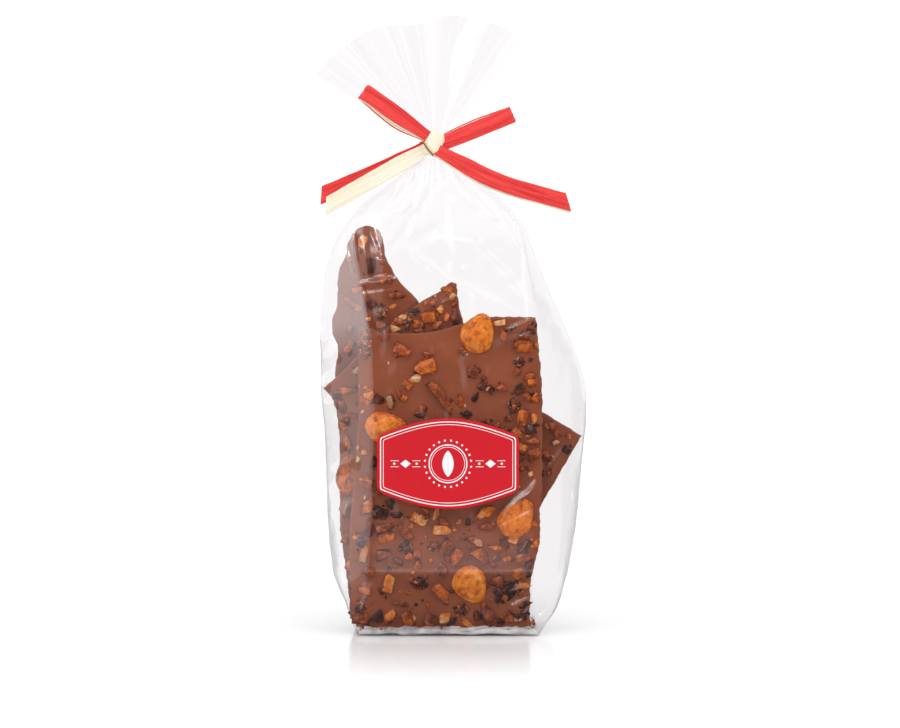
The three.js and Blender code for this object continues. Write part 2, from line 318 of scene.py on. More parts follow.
def open_end_tint_with_painted_light(tree):
    """Tint of the film above the neck: painted shade and highlight in darker and lighter bands that fan out
    from it along its pleats, and a lens of painted highlight to the right of its middle, from the angle and
    distance of each place to the neck."""
    place = place_in_metres(tree)
    across = minus(tree, place["X"], NECK[0] * MM)
    up = minus(tree, place["Z"], NECK[2] * MM)
    turn = maths(tree, "ARCTAN2", across, up)
    away = length_of(tree, across, up)
    round_neck = add(tree, "ShaderNodeCombineXYZ", inputs={"X": times(tree, turn, 7.0)}).outputs[0]
    crease = noise(tree, round_neck, 1.0, detail=2.5, roughness=0.6)
    # painted shade and highlight: darker and lighter tints in bands along the pleats
    dark, light = (0.953, 0.940, 0.946), (0.963, 0.952, 0.957)
    painted_pleat_bands = ramp(tree, crease, [(0.36, light), (0.39, dark), (0.485, dark), (0.50, light), (0.515, dark),
                                  (0.60, dark), (0.64, light)])
    beside = maths(tree, "DIVIDE", times(tree, minus(tree, turn, HIGHLIGHT_LENS["turn"]), away), HIGHLIGHT_LENS["half_width"])
    along = maths(tree, "DIVIDE", minus(tree, away, HIGHLIGHT_LENS["away"]), HIGHLIGHT_LENS["half_length"])
    off = plus(tree, maths(tree, "ABSOLUTE", beside), times(tree, along, along))
    # painted highlight: a lighter lens of tint where a streak of light is reflected
    lens = ramp(tree, off, [(0.80, (1, 1, 1)), (0.95, (0, 0, 0))])
    return mix_colours(tree, lens, painted_pleat_bands, (0.996, 0.992, 0.994))


def film_material():
    """Clear film: see-through, with both faces' reflection by Fresnel, 2f / (1 + f), plus a slight haze. The
    open end above the neck is many times creased, so it mirrors less. The piece's mark gives a painted veil
    of reflected light, a pale matt layer (red), and painted shade where the film is dimmer (green)."""
    material, tree = new_material("clear_film")
    mark = piece_mark(tree)
    height = use_group(tree, FILM_CRINKLE, {"Broad": 55.0, "Fine": 210.0}).outputs["Height"]
    normal = bump(tree, height, 0.35, 0.0012)
    one_face = add(tree, "ShaderNodeFresnel", inputs={"IOR": 1.46, "Normal": normal}).outputs[0]
    both = maths(tree, "DIVIDE", times(tree, one_face, 2.0), plus(tree, one_face, 1.0))
    inside = add(tree, "ShaderNodeNewGeometry").outputs["Backfacing"]
    weaker = minus(tree, 1.0, times(tree, inside, 0.75))
    factor = times(tree, maths(tree, "MINIMUM", both, 0.36), weaker)
    up = place_in_metres(tree)["Z"]
    above = smooth_step(tree, up, (NECK[2] - 3) * MM, (NECK[2] + 8) * MM)
    factor = times(tree, factor, minus(tree, 1.0, times(tree, above, 0.7)))
    factor = maths(tree, "ADD", factor, 0.006, clamp=True)
    body = mix_colours(tree, smooth_step(tree, up, 0.04, 0.20), (0.946, 0.932, 0.936), (0.965, 0.952, 0.957))
    # painted shade: the tint is dimmer where the mark is green, below the block fold
    body = mix_colours(tree, mark["Green"], body, (0.80, 0.80, 0.81))
    tint = mix_colours(tree, above, body, open_end_tint_with_painted_light(tree))
    clear = add(tree, "ShaderNodeBsdfTransparent", inputs={"Color": tint})
    gloss = add(tree, "ShaderNodeBsdfPrincipled", inputs={
        "Base Color": (0.97, 0.965, 0.97, 1), "Metallic": 0.9, "Roughness": 0.05, "Normal": normal})
    mixed = add(tree, "ShaderNodeMixShader", inputs={0: factor, 1: clear.outputs[0], 2: gloss.outputs[0]})
    # painted reflection: a pale matt layer, mixed in where the mark is red, stands in for a veil of reflected
    # light
    milk = add(tree, "ShaderNodeBsdfPrincipled", inputs={
        "Base Color": (0.93, 0.905, 0.91, 1), "Roughness": 0.5, "Specular IOR Level": 0.2})
    painted_veil_mix = add(tree, "ShaderNodeMixShader", inputs={
        0: mark["Red"], 1: mixed.outputs[0], 2: milk.outputs[0]})
    finish_material(tree, painted_veil_mix.outputs[0])
    return material


def folded_film_material():
    """The gathered layers of film under the contents: milky where they lie on each other, clear between."""
    material, tree = new_material("folded_film")
    place = object_place(tree, scale=(1, 0.6, 1))
    layer = noise(tree, place, 90.0, detail=2)
    milky = ramp(tree, layer, [(0.35, (0.22, 0.22, 0.22)), (0.65, (0.68, 0.68, 0.68))])
    normal = bump(tree, layer, 0.4, 0.001)
    clear = add(tree, "ShaderNodeBsdfTransparent", inputs={"Color": (0.97, 0.97, 0.97, 1)})
    milk = add(tree, "ShaderNodeBsdfPrincipled", inputs={
        "Base Color": (0.93, 0.92, 0.92, 1), "Roughness": 0.3, "Normal": normal})
    mixed = add(tree, "ShaderNodeMixShader", inputs={0: milky, 1: clear.outputs[0], 2: milk.outputs[0]})
    finish_material(tree, mixed.outputs[0])
    return material


def chocolate_material():
    """Milk chocolate: satin where it set, paler, rougher and grainy where it broke (the piece's own mark)."""
    material, tree = new_material("milk_chocolate")
    place = object_place(tree)
    edge = piece_mark(tree)["Red"]
    cloud = noise(tree, place, 45.0, detail=3)
    grain = noise(tree, place, 900.0, detail=3, roughness=0.7)
    set_face = ramp(tree, cloud, [(0.3, (0.250, 0.059, 0.0205)), (0.7, (0.322, 0.080, 0.0285))])
    broken_face = ramp(tree, grain, [(0.35, (0.15, 0.05, 0.028)), (0.7, (0.33, 0.15, 0.09))])
    colour = mix_colours(tree, edge, set_face, broken_face)
    speck = ramp(tree, noise(tree, place, 420.0, detail=1), [(0.70, (0, 0, 0)), (0.78, (1, 1, 1))])
    colour = mix_colours(tree, times(tree, speck, 0.25), colour, (0.42, 0.22, 0.13))
    rough = plus(tree, plus(tree, times(tree, edge, 0.3), times(tree, cloud, 0.25)), 0.27)
    soft = bump(tree, noise(tree, place, 160.0, detail=3), 0.22, 0.0006)
    crumb = times(tree, grain, plus(tree, times(tree, edge, 0.95), 0.05))
    normal = bump(tree, crumb, 0.8, 0.0007, soft)
    shader = add(tree, "ShaderNodeBsdfPrincipled", inputs={
        "Base Color": colour, "Roughness": rough, "Normal": normal, "Specular IOR Level": 0.28})
    finish_material(tree, shader.outputs[0])
    return material


def almond_material(name, stops, grain_scale, gloss):
    """Caramelised almond. The piece's mark gives how dark it roasted, with painted shade added in places
    (red), and where pale flesh shows (green)."""
    material, tree = new_material(name)
    place = object_place(tree)
    mark = piece_mark(tree)
    patch = noise(tree, place, grain_scale, detail=4, roughness=0.6)
    grain = noise(tree, place, grain_scale * 5, detail=3, roughness=0.65)
    uneven = times(tree, minus(tree, patch, 0.5), 0.95)
    fine = times(tree, minus(tree, grain, 0.5), 0.45)
    roast = maths(tree, "ADD", mark["Red"], plus(tree, uneven, fine), clamp=True)
    colour = ramp(tree, roast, stops)
    flesh = ramp(tree, grain, [(0.3, (0.56, 0.30, 0.12)), (0.7, (0.80, 0.55, 0.30))])
    colour = mix_colours(tree, mark["Green"], colour, flesh)
    rough = ramp(tree, grain, [(0.3, (0.22, 0.22, 0.22)), (0.75, (0.55, 0.55, 0.55))])
    soft = bump(tree, patch, 0.5, 0.0010)
    normal = bump(tree, grain, 0.6, 0.0005, soft)
    shader = add(tree, "ShaderNodeBsdfPrincipled", inputs={
        "Base Color": colour, "Roughness": rough, "Normal": normal, "Specular IOR Level": 0.2,
        "Coat Weight": gloss, "Coat Roughness": 0.12})
    finish_material(tree, shader.outputs[0])
    return material


def paper_material(name, deep, light, see_through):
    """Coloured paper ribbon with lengthwise fibres, matte, letting a little light through."""
    material, tree = new_material(name)
    fibre = use_group(tree, PAPER_FIBRE, {"Along": 45.0, "Across": 1100.0})
    colour = ramp(tree, fibre.outputs["Shade"], [(0.36, deep), (0.58, light)])
    normal = bump(tree, fibre.outputs["Height"], 0.8, 0.0007)
    shader = add(tree, "ShaderNodeBsdfPrincipled", inputs={
        "Base Color": colour, "Roughness": 0.68, "Normal": normal, "Sheen Weight": 0.15,
        "Specular IOR Level": 0.3, "Subsurface Weight": see_through, "Subsurface Scale": 0.002})
    finish_material(tree, shader.outputs[0])
    return material


# ---------------------------------------------------------------------------------------------- the bag

BLOCK_HALF = 45.5
BLOCK_Z = 32.0  # the fold that the block bottom leaves across the panels
NECK_HALF = 3.4
SILHOUETTE = {  # height: left edge, right edge, half depth, left crease, right crease
    0: (-BLOCK_HALF, BLOCK_HALF, 27, -BLOCK_HALF, BLOCK_HALF), 13: (-51.3, 54.8, 28, -41.8, 44.8),
    BLOCK_Z: (-58.3, 60.8, 27.6, -40, 44.5), 93: (-62.6, 68.6, 24.5, -37.8, 44.5),
    120: (-63.8, 69.8, 23, -37.5, 44.3), 147: (-64.9, 62.4, 21.2, -38.5, 43),
    175: (-63.3, 49.9, 18.4, -42.4, 41.6), 190: (-59.8, 44.1, 16.6, -45, 39.6),
    203: (-53.4, 38.9, 14.5, -46.4, 36.6), 214.7: (-44.6, 30.2, 11.6, -40, 26.6),
    223: (-35.3, 21.5, 9.4, -31.6, 18.6), 232: (-22.5, 8.8, 7, -20.4, 7.2), 240: (-12, -2, 4.6, -11.4, -2.6),
    246.3: (-10.4, -3.6, 3.4, -10, -4),
}
# The gusset's chamfer low down, as shares of the way round it, its width and its depth
GUSSET = {"slant": 0.35, "out": 0.77, "back": 0.12}
FRONT_BULGE, BACK_BULGE = 1.0, 2.4
PANEL_COLUMNS, GUSSET_COLUMNS = 84, 56
FAN = {"middle": 99.5, "half": 50.5, "radius": 65.0, "corner": 4.0, "thick": 3.6, "pleats": 5.5, "depth": 3.2,
       "dip": 5.0, "dip_at": 99.0, "dip_spread": 13.0}


def silhouette(z, column):
    return through([(height, row[column]) for height, row in SILHOUETTE.items()], z)


def round_the_bag():
    """The columns of the film: each one's side (0 front, 1 right gusset, 2 back, 3 left gusset) and share."""
    sides, shares = [], []
    for side, count in enumerate((PANEL_COLUMNS, GUSSET_COLUMNS) * 2):
        sides.append(np.full(count, side))
        shares.append(np.arange(count) / count)
    return np.concatenate(sides), np.concatenate(shares)


def round_ring(side, share):
    """The same places on a round ring: how far across and how far back each is, from -1 to 1."""
    edge = math.radians(24)
    turn = lerp(-edge, edge, share)
    flat = math.cos(edge)
    to_right = lerp(-flat, flat, share)
    across = np.choose(side, [to_right, np.cos(turn), -to_right, -np.cos(turn)])
    round_off = np.sqrt(np.maximum(0, 1 - across**2))
    return across, np.choose(side, [-round_off, np.sin(turn), round_off, -np.sin(turn)])


def gusset_profile(share, boxy):
    """How far out and how far back a gusset is at a share of the way round it. Higher up it is a sine to a
    power; where the block bottom holds it boxy it slants out to a corner and turns there into the side."""
    to_middle = 1 - np.abs(2 * share - 1)
    on_slant = np.minimum(1, to_middle / GUSSET["slant"])
    turned = np.maximum(0, to_middle - GUSSET["slant"]) / (1 - GUSSET["slant"]) * np.pi / 2
    out = GUSSET["out"] * on_slant + (1 - GUSSET["out"]) * np.sin(turned)
    back = 1 - GUSSET["back"] * on_slant - (1 - GUSSET["back"]) * (1 - np.cos(turned))
    back *= np.sign(share - 0.5)
    return lerp(np.sin(np.pi * share) ** 0.85, out, boxy), lerp(2 * share - 1, back, boxy)


def body_wall(side, share, z):
    """The filled bag: flat panels, gussets that bulge as a sine to a power, rounding to a ring at the
    neck."""
    left, right, half_depth, crease_left, crease_right = (silhouette(z, column) for column in range(5))
    middle = (left + right) / 2
    swell = np.sin(np.pi * share)
    bulge = smooth(z, 0, 25) * (1 - smooth(z, 205, NECK[2])) * swell
    out, back = gusset_profile(share, 1 - smooth(z, 20, 90))
    x = np.choose(side, [lerp(crease_left, crease_right, share), lerp(crease_right, right, out),
                         lerp(crease_right, crease_left, share), lerp(crease_left, left, out)])
    y = np.choose(side, [-half_depth - FRONT_BULGE * bulge, half_depth * back,
                         half_depth + BACK_BULGE * bulge, -half_depth * back])
    ring_across, ring_back = round_ring(side, share)
    gathered = smooth(z, 200, NECK[2] - 4)
    x = lerp(x, middle + ring_across * (right - left) / 2, gathered)
    return np.stack([x, lerp(y, ring_back * half_depth, gathered), z + 0 * x], -1)


def fan_wall(side, share, r):
    """The open end above the neck: arcs about the neck, r from 0 there to 1 at the mouth, with pleats that
    grow outwards, and a front lip that hangs lower than the back one."""
    across, back = round_ring(side, share)
    degrees = FAN["middle"] - across * FAN["half"]
    angle = np.radians(degrees)
    reach = FAN["radius"] + FAN["corner"] * across**2
    lip = np.exp(-(((degrees - FAN["dip_at"]) / FAN["dip_spread"]) ** 2)) * np.maximum(0, -back)
    radius = r * reach - FAN["dip"] * lip * r**3
    phase = 2 * np.pi * FAN["pleats"] * ((across + 1) / 2) ** 0.85
    pleat = FAN["depth"] * r * (1 - across**6) * np.sin(phase)
    # finer flutes, unlike on the two walls
    flute = 0.22 * np.sin(phase * 3.3 + back * 1.7) * r * (1 - across**4)
    thick = lerp(NECK_HALF, FAN["thick"], r) * back
    x = NECK[0] + across * NECK_HALF * (1 - r) + radius * np.cos(angle)
    return np.stack([x, thick + pleat + flute, NECK[2] + radius * np.sin(angle)], -1)


# Folds pressed into the film: from and to (x, z) on the front, half width, and height out of the surface
FRONT_FOLDS = [
    ((-33.5, 214), (-31, 166), 13.0, 3.0), ((-47.6, 203), (-44.0, 174.6), 1.7, 2.2),
    ((-46.2, 202), (-43.0, 175), 1.3, -1.5), ((-50.5, 199), (-45.6, 175), 2.2, -1.2),
    ((-42.4, 200), (-39.6, 176), 3.0, 1.6), ((-40.5, 205), (-33, 190), 2.4, -1.1),
    ((-37.6, 202), (-31.5, 186), 1.8, 1.2), ((-45.6, 175.4), (-22.5, 178.2), 3.2, 2.4),
    ((-44, 172.4), (-26, 174.8), 1.5, -1.1), ((-36, 188), (-28, 184.5), 1.6, 1.0),
    ((-47, 174), (-48.8, 146), 1.5, -1.5), ((-42.2, 173.6), (-38.6, 152), 2.0, 0.8),
    ((-52.5, 176), (-50.5, 130), 3.0, -0.8), ((-14, 238), (-36, 208), 2.6, 1.0),
    ((-10, 236), (-18, 200), 3.0, 0.9), ((-2, 238), (14, 214), 2.2, 1.2), ((2, 236), (30, 205), 2.6, -1.1),
    ((0, 232), (4, 190), 4.0, 0.7), ((20, 220), (38, 192), 2.0, 1.3), ((-6, 226), (-30, 190), 3.4, -0.8),
    ((31, 178), (44, 166), 2.2, -1.0), ((37.6, 193), (40.6, 158), 1.3, 1.3),
    ((27, 60.5), (46.5, 77), 3.6, 1.3), ((22, 55), (44, 66), 3.0, -0.9), ((38, 66), (47, 83), 2.4, 1.0),
    ((30, 14), (44, 20), 2.2, 1.4), ((24, 8), (43, 10), 1.8, -1.2), ((36, 6), (45, 22), 1.6, 1.0),
    ((-44, 10), (-38, 26), 2.0, 0.8), ((28, 21), (40, 25), 1.5, 1.2), ((30, 25.5), (43, 29), 1.4, -1.0),
    ((26, 17.5), (36, 15), 1.4, 1.0), ((-26, 3), (-8, 5.5), 1.4, 0.8), ((8, 142), (12, 120), 5.0, 0.6),
    ((-20, 118), (-6, 100), 4.0, -0.5), ((30, 153), (43, 158), 2.2, 1.3),
    ((33, 151), (41, 152.6), 1.6, -1.0), ((46, 78), (60, 96), 2.0, 1.2),
    ((35.9, 204), (38.6, 191), 1.0, 1.1), ((38.3, 194), (40.4, 174), 1.1, 1.1),
    ((40.2, 178), (41.2, 158), 1.0, 1.0), ((0.8, 187), (3.0, 180.5), 1.5, 1.5),
    ((7, 185), (10.5, 183.4), 1.1, 1.1), ((-21, 209), (-17.5, 203.5), 1.2, 1.1),
    ((16, 216), (31, 203), 1.6, 1.2), ((24, 209), (34, 197), 1.2, -1.0), ((-9, 199), (14, 196), 2.2, 0.9),
    ((-24, 196), (8, 172), 3.4, 0.8), ((2, 178), (36, 160), 3.0, 0.8), ((10, 200), (36, 176), 3.2, -0.7),
]
NECK_PLEATS = 17
# How strong the painted veil of reflected light is on the film in places, and how much painted shade dims it
# below the block fold, as shares
PAINTED_VEIL_AND_SHADE = {"gusset": 0.05, "shoulder": 0.18, "above_fold": 0.045, "painted_dim": 0.8}


def fold_lines(x, z, folds):
    """Height of the folds: each is a sharp ridge, (1 - distance / width)^1.4, that fades at both its ends."""
    height = np.zeros(x.shape)
    for start, end, width, rise in folds:
        run = np.subtract(end, start)
        share = ((x - start[0]) * run[0] + (z - start[1]) * run[1]) / (run @ run)
        inside = np.clip(share, 0, 1)
        off = np.hypot(x - start[0] - inside * run[0], z - start[1] - inside * run[1])
        fade = np.sin(np.pi * inside) ** 0.6
        height += rise * np.maximum(0, 1 - off / width) ** 1.4 * fade
    return height


def film_points():
    """The film from the middle of the bottom, up the body, through the neck and out to the mouth of the
    fan."""
    side, share = round_the_bag()
    base = body_wall(side, share, np.zeros(1))
    bottom = np.stack([base * [k, k, 1] for k in (0, 0.35, 0.7, 0.93)])
    heights = np.concatenate([np.linspace(0, 8, 9)[:-1], np.linspace(8, NECK[2], 250)])
    body = np.stack([body_wall(side, share, np.full(1, z)) for z in heights])
    fan = np.stack([fan_wall(side, share, r) for r in np.linspace(0, 1, 46)[1:]])
    points = np.concatenate([bottom, body, fan])
    normals = grid_normals(points, wrapped=True)
    x, y, z = np.moveaxis(points, -1, 0)

    on_body = smooth(z, 1, 12) * (1 - smooth(z, 240, 246))
    slack = 0.45 * ripple(points, 46.0, 11) + 0.16 * ripple(points * [1, 1, 0.5], 14.0, 12)
    facing = smooth(-normals[..., 1], 0.05, 0.3)
    folds = fold_lines(x, z, FRONT_FOLDS) * facing
    back_folds = fold_lines(-x, z, FRONT_FOLDS[13:]) * smooth(normals[..., 1], 0.25, 0.6) * 0.8
    turn = np.arctan2(y, x - NECK[0])
    gather = np.abs(((turn * NECK_PLEATS / (2 * np.pi) + 0.35 * np.sin(3 * turn)) % 1) - 0.5) - 0.25
    pleats = 1.9 * gather * smooth(z, 204, 234) * (1 - smooth(z, 239, NECK[2]))
    ridge = np.maximum(0, 1 - np.abs(z - BLOCK_Z) / 1.6)
    crease = 0.55 * (ridge - 0.6 * smooth(BLOCK_Z - z, 0, 5) * smooth(z, 8, 20))
    off_crease = smooth(np.minimum(share, 1 - share), 0, 0.12)[None, :]
    # above its fold the panel leans back
    crease -= 1.0 * smooth(z - BLOCK_Z, 0, 11) * (1 - smooth(z, 50, 80)) * off_crease
    flat_sides = np.isin(side, (0, 2))[None, :]
    near_middle = np.maximum(0, 1 - np.abs(share - 0.5) / 0.055)[None, :]
    gusset_fold = -0.5 * near_middle * smooth(z, 20, 60) * ~flat_sides * (1 - smooth(z, 190, 225))
    offset = on_body * (slack + folds + back_folds + crease * flat_sides + gusset_fold) + pleats
    in_fan = smooth(z, NECK[2] + 2, NECK[2] + 25)
    offset = np.where(np.arange(len(points))[:, None] >= len(bottom) + len(body),
                      in_fan * (0.25 * ripple(points, 24.0, 13) + 0.12 * ripple(points, 7.0, 14)), offset)
    return points + normals * offset[..., None]


def film_marks(z):
    """Where a painted veil of reflected light lies on the film (red): on the left gusset's front half, most
    at the shoulder, and in a band above the fold of the block bottom. Below that fold the front is dimmer, a
    painted shade (green)."""
    side, share = round_the_bag()
    # painted reflection: a veil of reflected light on the left gusset, most at the shoulder, and above the
    # block fold
    shoulder = smooth(z, 136, 160) * (1 - smooth(z, 200, 222))
    gusset = (side == 3) * smooth(share, 0.42, 0.58)
    milky = gusset * (PAINTED_VEIL_AND_SHADE["gusset"] + PAINTED_VEIL_AND_SHADE["shoulder"] * shoulder)
    milky *= smooth(z, 8, 30) * (1 - smooth(z, 212, 232))
    off_crease = (side == 0) * smooth(np.minimum(share, 1 - share), 0.0, 0.06)
    above_fold = smooth(z, BLOCK_Z - 0.4, BLOCK_Z + 0.6) * (1 - smooth(z, 38, 66))
    milky += off_crease * PAINTED_VEIL_AND_SHADE["above_fold"] * above_fold
    # painted shade: the front below the block fold is dimmer
    dim = off_crease * smooth(z, 2, 6) * (1 - smooth(z, BLOCK_Z - 1, BLOCK_Z))
    return np.stack([milky, PAINTED_VEIL_AND_SHADE["painted_dim"] * dim, 0 * dim], -1)


def make_film():
    points = film_points()
    rows, columns = points.shape[:2]
    faces = grid_faces(rows, columns, wrapped=True)
    put_piece("bag_film", points.reshape(-1, 3), faces, film_material(),
              {"mark": film_marks(points[..., 2]).reshape(-1, 3)}, replaced=["film_bag"])


def make_bottom_folds():
    """The folded layers of film that close the block bottom: wavy flaps over each other, just above the
    ground, whose front and back rims turn up behind the film."""
    u, v = np.meshgrid(np.linspace(-1, 1, 70), np.linspace(-1.11, 1.11, 44))
    pieces, faces, start = [], [], 0
    beyond = np.maximum(0, np.abs(v) - 1)
    for reach, z, lean, seed in ((1.0, 0.9, 0.0, 31), (0.97, 1.6, 0.25, 32), (0.94, 2.2, -0.2, 33)):
        flat = np.stack([u * 44.6 * reach, np.clip(v, -1, 1) * 26.6 * reach, 0 * u], -1)
        place = np.stack([u * 44.6, v * 26.6, 0 * u], -1)
        height = z + lean * np.clip(v, -1, 1) + 0.28 * ripple(place, 15.0, seed)
        turned_up = beyond * (20 + 5 * ripple(place, 9.0, seed + 5))
        flat[..., 2] = np.clip(height, 0.45, 3.1) + turned_up
        pieces.append(flat.reshape(-1, 3))
        faces.append(grid_faces(*u.shape, start=start))
        start += u.size
    put_piece("bottom_folds", np.concatenate(pieces), np.concatenate(faces),
              folded_film_material(), weld=False)


# ---------------------------------------------------------------------------------------------- the bark

# Each slab: (height, x) down its left and right sides, (x, height) along its bottom and top, and the plane of
# its set face, y = at + across * x + up * z; faces_back turns its nuts to the back of the bag.
SLABS = {
    "bark_front": {
        "left": [(2, -45.3), (12, -47.9), (46, -49.3), (68, -47.9), (91, -46.1), (109, -44.8), (154, -45)],
        "right": [(3, 40.5), (24, 41), (35, 43.1), (48, 46), (62, 46), (73, 47), (118, 47), (152, 44.5),
                  (159, 43.9)],
        "bottom": [(-48, 3.9), (-10, 3.0), (20, 3.6), (44, 3.4)],
        "top": [(-45, 153.8), (-38, 153.4), (-34.5, 151.3), (-19.4, 151), (-10.4, 151.4), (5.6, 155.2),
                (23.5, 159.2), (44, 159)],
        "plane": (-21.4, 0.0, 0.038), "thick": 6.5, "pitch": 1.0, "seed": 41,
        "fill": [(30, 45, 60, 125), (-47, 46, 3, 62), (-46, -36, 60, 125)],
    },
    "bark_left": {
        "left": [(3, -48.5), (12.6, -49.5), (37.6, -52.4), (55, -54.6), (96, -54.6), (106, -55.5),
                 (116, -57.5), (123, -62.6)],
        "right": [(3, -36.5), (144, -36.5)],
        "bottom": [(-52, 3.5), (-30, 3.2)],
        "top": [(-62.6, 122.9), (-53, 131.5), (-44.8, 139.8), (-36, 143)],
        "plane": (-14.5, -0.17, 0.0), "thick": 5.6, "pitch": 1.3, "seed": 42,
    },
    "bark_tall": {
        "left": [(3, -48), (60, -50), (110, -54), (130, -57), (142.5, -55.5), (150.5, -58.2),
                 (156.8, -58.5), (163.9, -56), (172.8, -55.5), (181.8, -55), (189.8, -51.5), (195, -50.6),
                 (201.4, -47.5), (203.6, -45), (204.8, -42)],
        "right": [(3, -32), (60, -30), (120, -22), (150, -10), (166, -14.9), (175.5, -23.8), (182.6, -28.3),
                  (189.8, -31.9), (197.8, -32.8), (201.5, -34.5), (203.8, -37), (204.8, -39.5)],
        "bottom": [(-50, 3.4), (-30, 3.4)],
        "top": [(-50, 204.8), (-30, 204.8)],
        "plane": (8.5, 0.0, -0.07), "thick": 6.3, "pitch": 1.3, "seed": 43,
    },
    "bark_middle": {
        "left": [(3, -33.5), (150, -33.5)],
        "right": [(3, 24), (100, 18), (140, 10), (157.6, 7.4), (162, 5.6), (168.4, 4.8), (176.4, 4)],
        "bottom": [(-34, 3.2), (24, 3.2)],
        "top": [(-33.5, 151), (-30.5, 153.6), (-26.5, 157.6), (-21.1, 161.2), (-14.9, 165.7),
                (-10.4, 168.4), (-3.3, 172.4), (1.6, 176.2), (4.3, 175.4)],
        "plane": (-11.5, 0.0, 0.024), "thick": 5.8, "pitch": 1.3, "seed": 44,
    },
    "bark_right": {  # lies turned; these are its own flat sizes, and turned and moved below
        "left": [(0, -58), (112, -58)],
        "right": [(0, -0.6), (40, 0.5), (112, 0)],
        "bottom": [(-58, 0), (0, 0)],
        "top": [(-58, 111), (-30, 112.4), (0, 112)],
        "turn": -30.5, "corner": (67.6, 98.2, 112.0),
        "plane": (6.0, -0.07, 0.0), "thick": 5.8, "pitch": 1.5, "seed": 45,
    },
    "bark_back": {
        "left": [(3, -38), (70, -40), (150, -37)],
        "right": [(3, 37), (80, 39), (148, 36)],
        "bottom": [(-40, 3.2), (40, 3.2)],
        "top": [(-40, 146), (-12, 149.5), (10, 144), (24, 148), (40, 141)],
        "plane": (22.6, 0.0, -0.03), "thick": 6.0, "pitch": 1.5, "seed": 46, "faces_back": True,
    },
}


RIM = 0.7  # how round a slab's rim is
# The chocolate that rises round a nut, its spread as a share of the nut's size
MOUND = {"height": 0.30, "spread": 0.55, "highest": 0.6}


def slab_frame(slab, across, up):
    """Flat sizes of a slab to the bag's x and z: turned about its top right corner and moved there."""
    if "turn" not in slab:
        return across, up
    corner_x, corner_z, length = slab["corner"]
    a = math.radians(slab["turn"])
    up = up - length
    x = corner_x + across * math.cos(a) - up * math.sin(a)
    return x, corner_z + across * math.sin(a) + up * math.cos(a)


def slab_outline(slab, s, t):
    """Place in a slab's flat sizes at shares s across and t up: the sides are read at the height between
    the two ends there, plus a small uneven break."""
    wander = 0.16
    across = lerp(through(slab["left"], 70.0), through(slab["right"], 70.0), s)
    for _ in range(8):  # the sides depend on the height and the ends on x, so both are settled in turn
        up = lerp(through(slab["bottom"], across), through(slab["top"], across), t)
        across = lerp(through(slab["left"], up), through(slab["right"], up), s)
    place = np.stack([across, up], -1)
    break_in = wander * ripple(place, 7.0, slab["seed"], 2)
    near_side = np.maximum(smooth(s, 0.93, 1), 1 - smooth(s, 0, 0.07))
    near_end = np.maximum(smooth(t, 0.95, 1), 1 - smooth(t, 0, 0.05))
    return across + break_in * near_side, up + break_in * near_end * 0.8


def outward(slab):
    """The way a slab's set face looks along y: to the front, or to the back."""
    return 1.0 if slab.get("faces_back") else -1.0


def slab_face(slab, x, z):
    """Depth y of a slab's set face: a plane, with the slight waves that the chocolate set with."""
    at, across, up = slab["plane"]
    place = np.stack([x, z], -1)
    return at + across * x + up * z + 0.16 * ripple(place, 55.0, slab["seed"] + 100, 2)


def graded(length, pitch):
    """Shares from 0 to 1 with fine steps next to both ends, for a crisp edge, and the pitch between them."""
    near = np.array([0, 0.15, 0.4, 0.75, 1.2, 1.8])
    middle = np.linspace(near[-1], length - near[-1], max(2, int((length - 2 * near[-1]) / pitch)))
    return np.concatenate([near[:-1], middle, (length - near[:-1])[::-1]]) / length


def slab_points(slab, mounds):
    """A slab as a closed box of six grids: the set face with a rounded rim and a low mound round each nut,
    the flat other face, and four broken sides that wander in and out."""
    width = abs(through(slab["right"], 70.0) - through(slab["left"], 70.0))
    height = max(z for _, z in slab["top"])
    across, up = graded(width, slab["pitch"]), graded(height, slab["pitch"])
    deep = np.linspace(0, 1, 7)
    out = outward(slab)
    grids = []
    for s, t, d in (
        (across[None, :], up[:, None], 0.0), (across[None, :], up[:, None], 1.0),
        (across[None, :], 0.0, deep[:, None]), (across[None, :], 1.0, deep[:, None]),
        (0.0, up[None, :], deep[:, None]), (1.0, up[None, :], deep[:, None]),
    ):
        s, t, d = np.broadcast_arrays(s, t, d)
        own_x, own_z = slab_outline(slab, s, t)
        x, z = slab_frame(slab, own_x, own_z)
        rim = np.minimum(np.minimum(s, 1 - s) * width, np.minimum(t, 1 - t) * height)
        inward = RIM - np.sqrt(np.maximum(0, RIM**2 - np.maximum(0, RIM - rim) ** 2))
        depth = np.where(d == 0, inward, lerp(0.35, slab["thick"], d))
        depth = np.where(d == 1, slab["thick"] - inward * 0.5, depth)
        side = np.sin(np.pi * d)
        place = np.stack([x, z, d * 9], -1)
        jag = side * (0.12 + 0.30 * ripple(place, 4.0, slab["seed"] + 7, 3))
        push_x = np.where(s == 0, -1.0, 0) + np.where(s == 1, 1.0, 0)
        push_z = np.where(t == 0, -1.0, 0) + np.where(t == 1, 1.0, 0)
        x, z = x + push_x * jag, z + push_z * jag * 0.7
        mound = np.zeros(x.shape)
        if np.all(d == 0):
            for cx, cz, size in mounds:
                off = ((x - cx) ** 2 + (z - cz) ** 2) / (MOUND["spread"] * size) ** 2
                mound += MOUND["height"] * np.exp(-off)
            mound = np.minimum(mound, MOUND["highest"])
        y = slab_face(slab, x, z) + out * (mound - depth)
        broken = np.where(rim < 0.3, 1.0, 0.0) * np.where((d == 0) | (d == 1), 0.55, 1.0)
        grids.append((np.stack([x, y, z], -1), broken))
    return grids


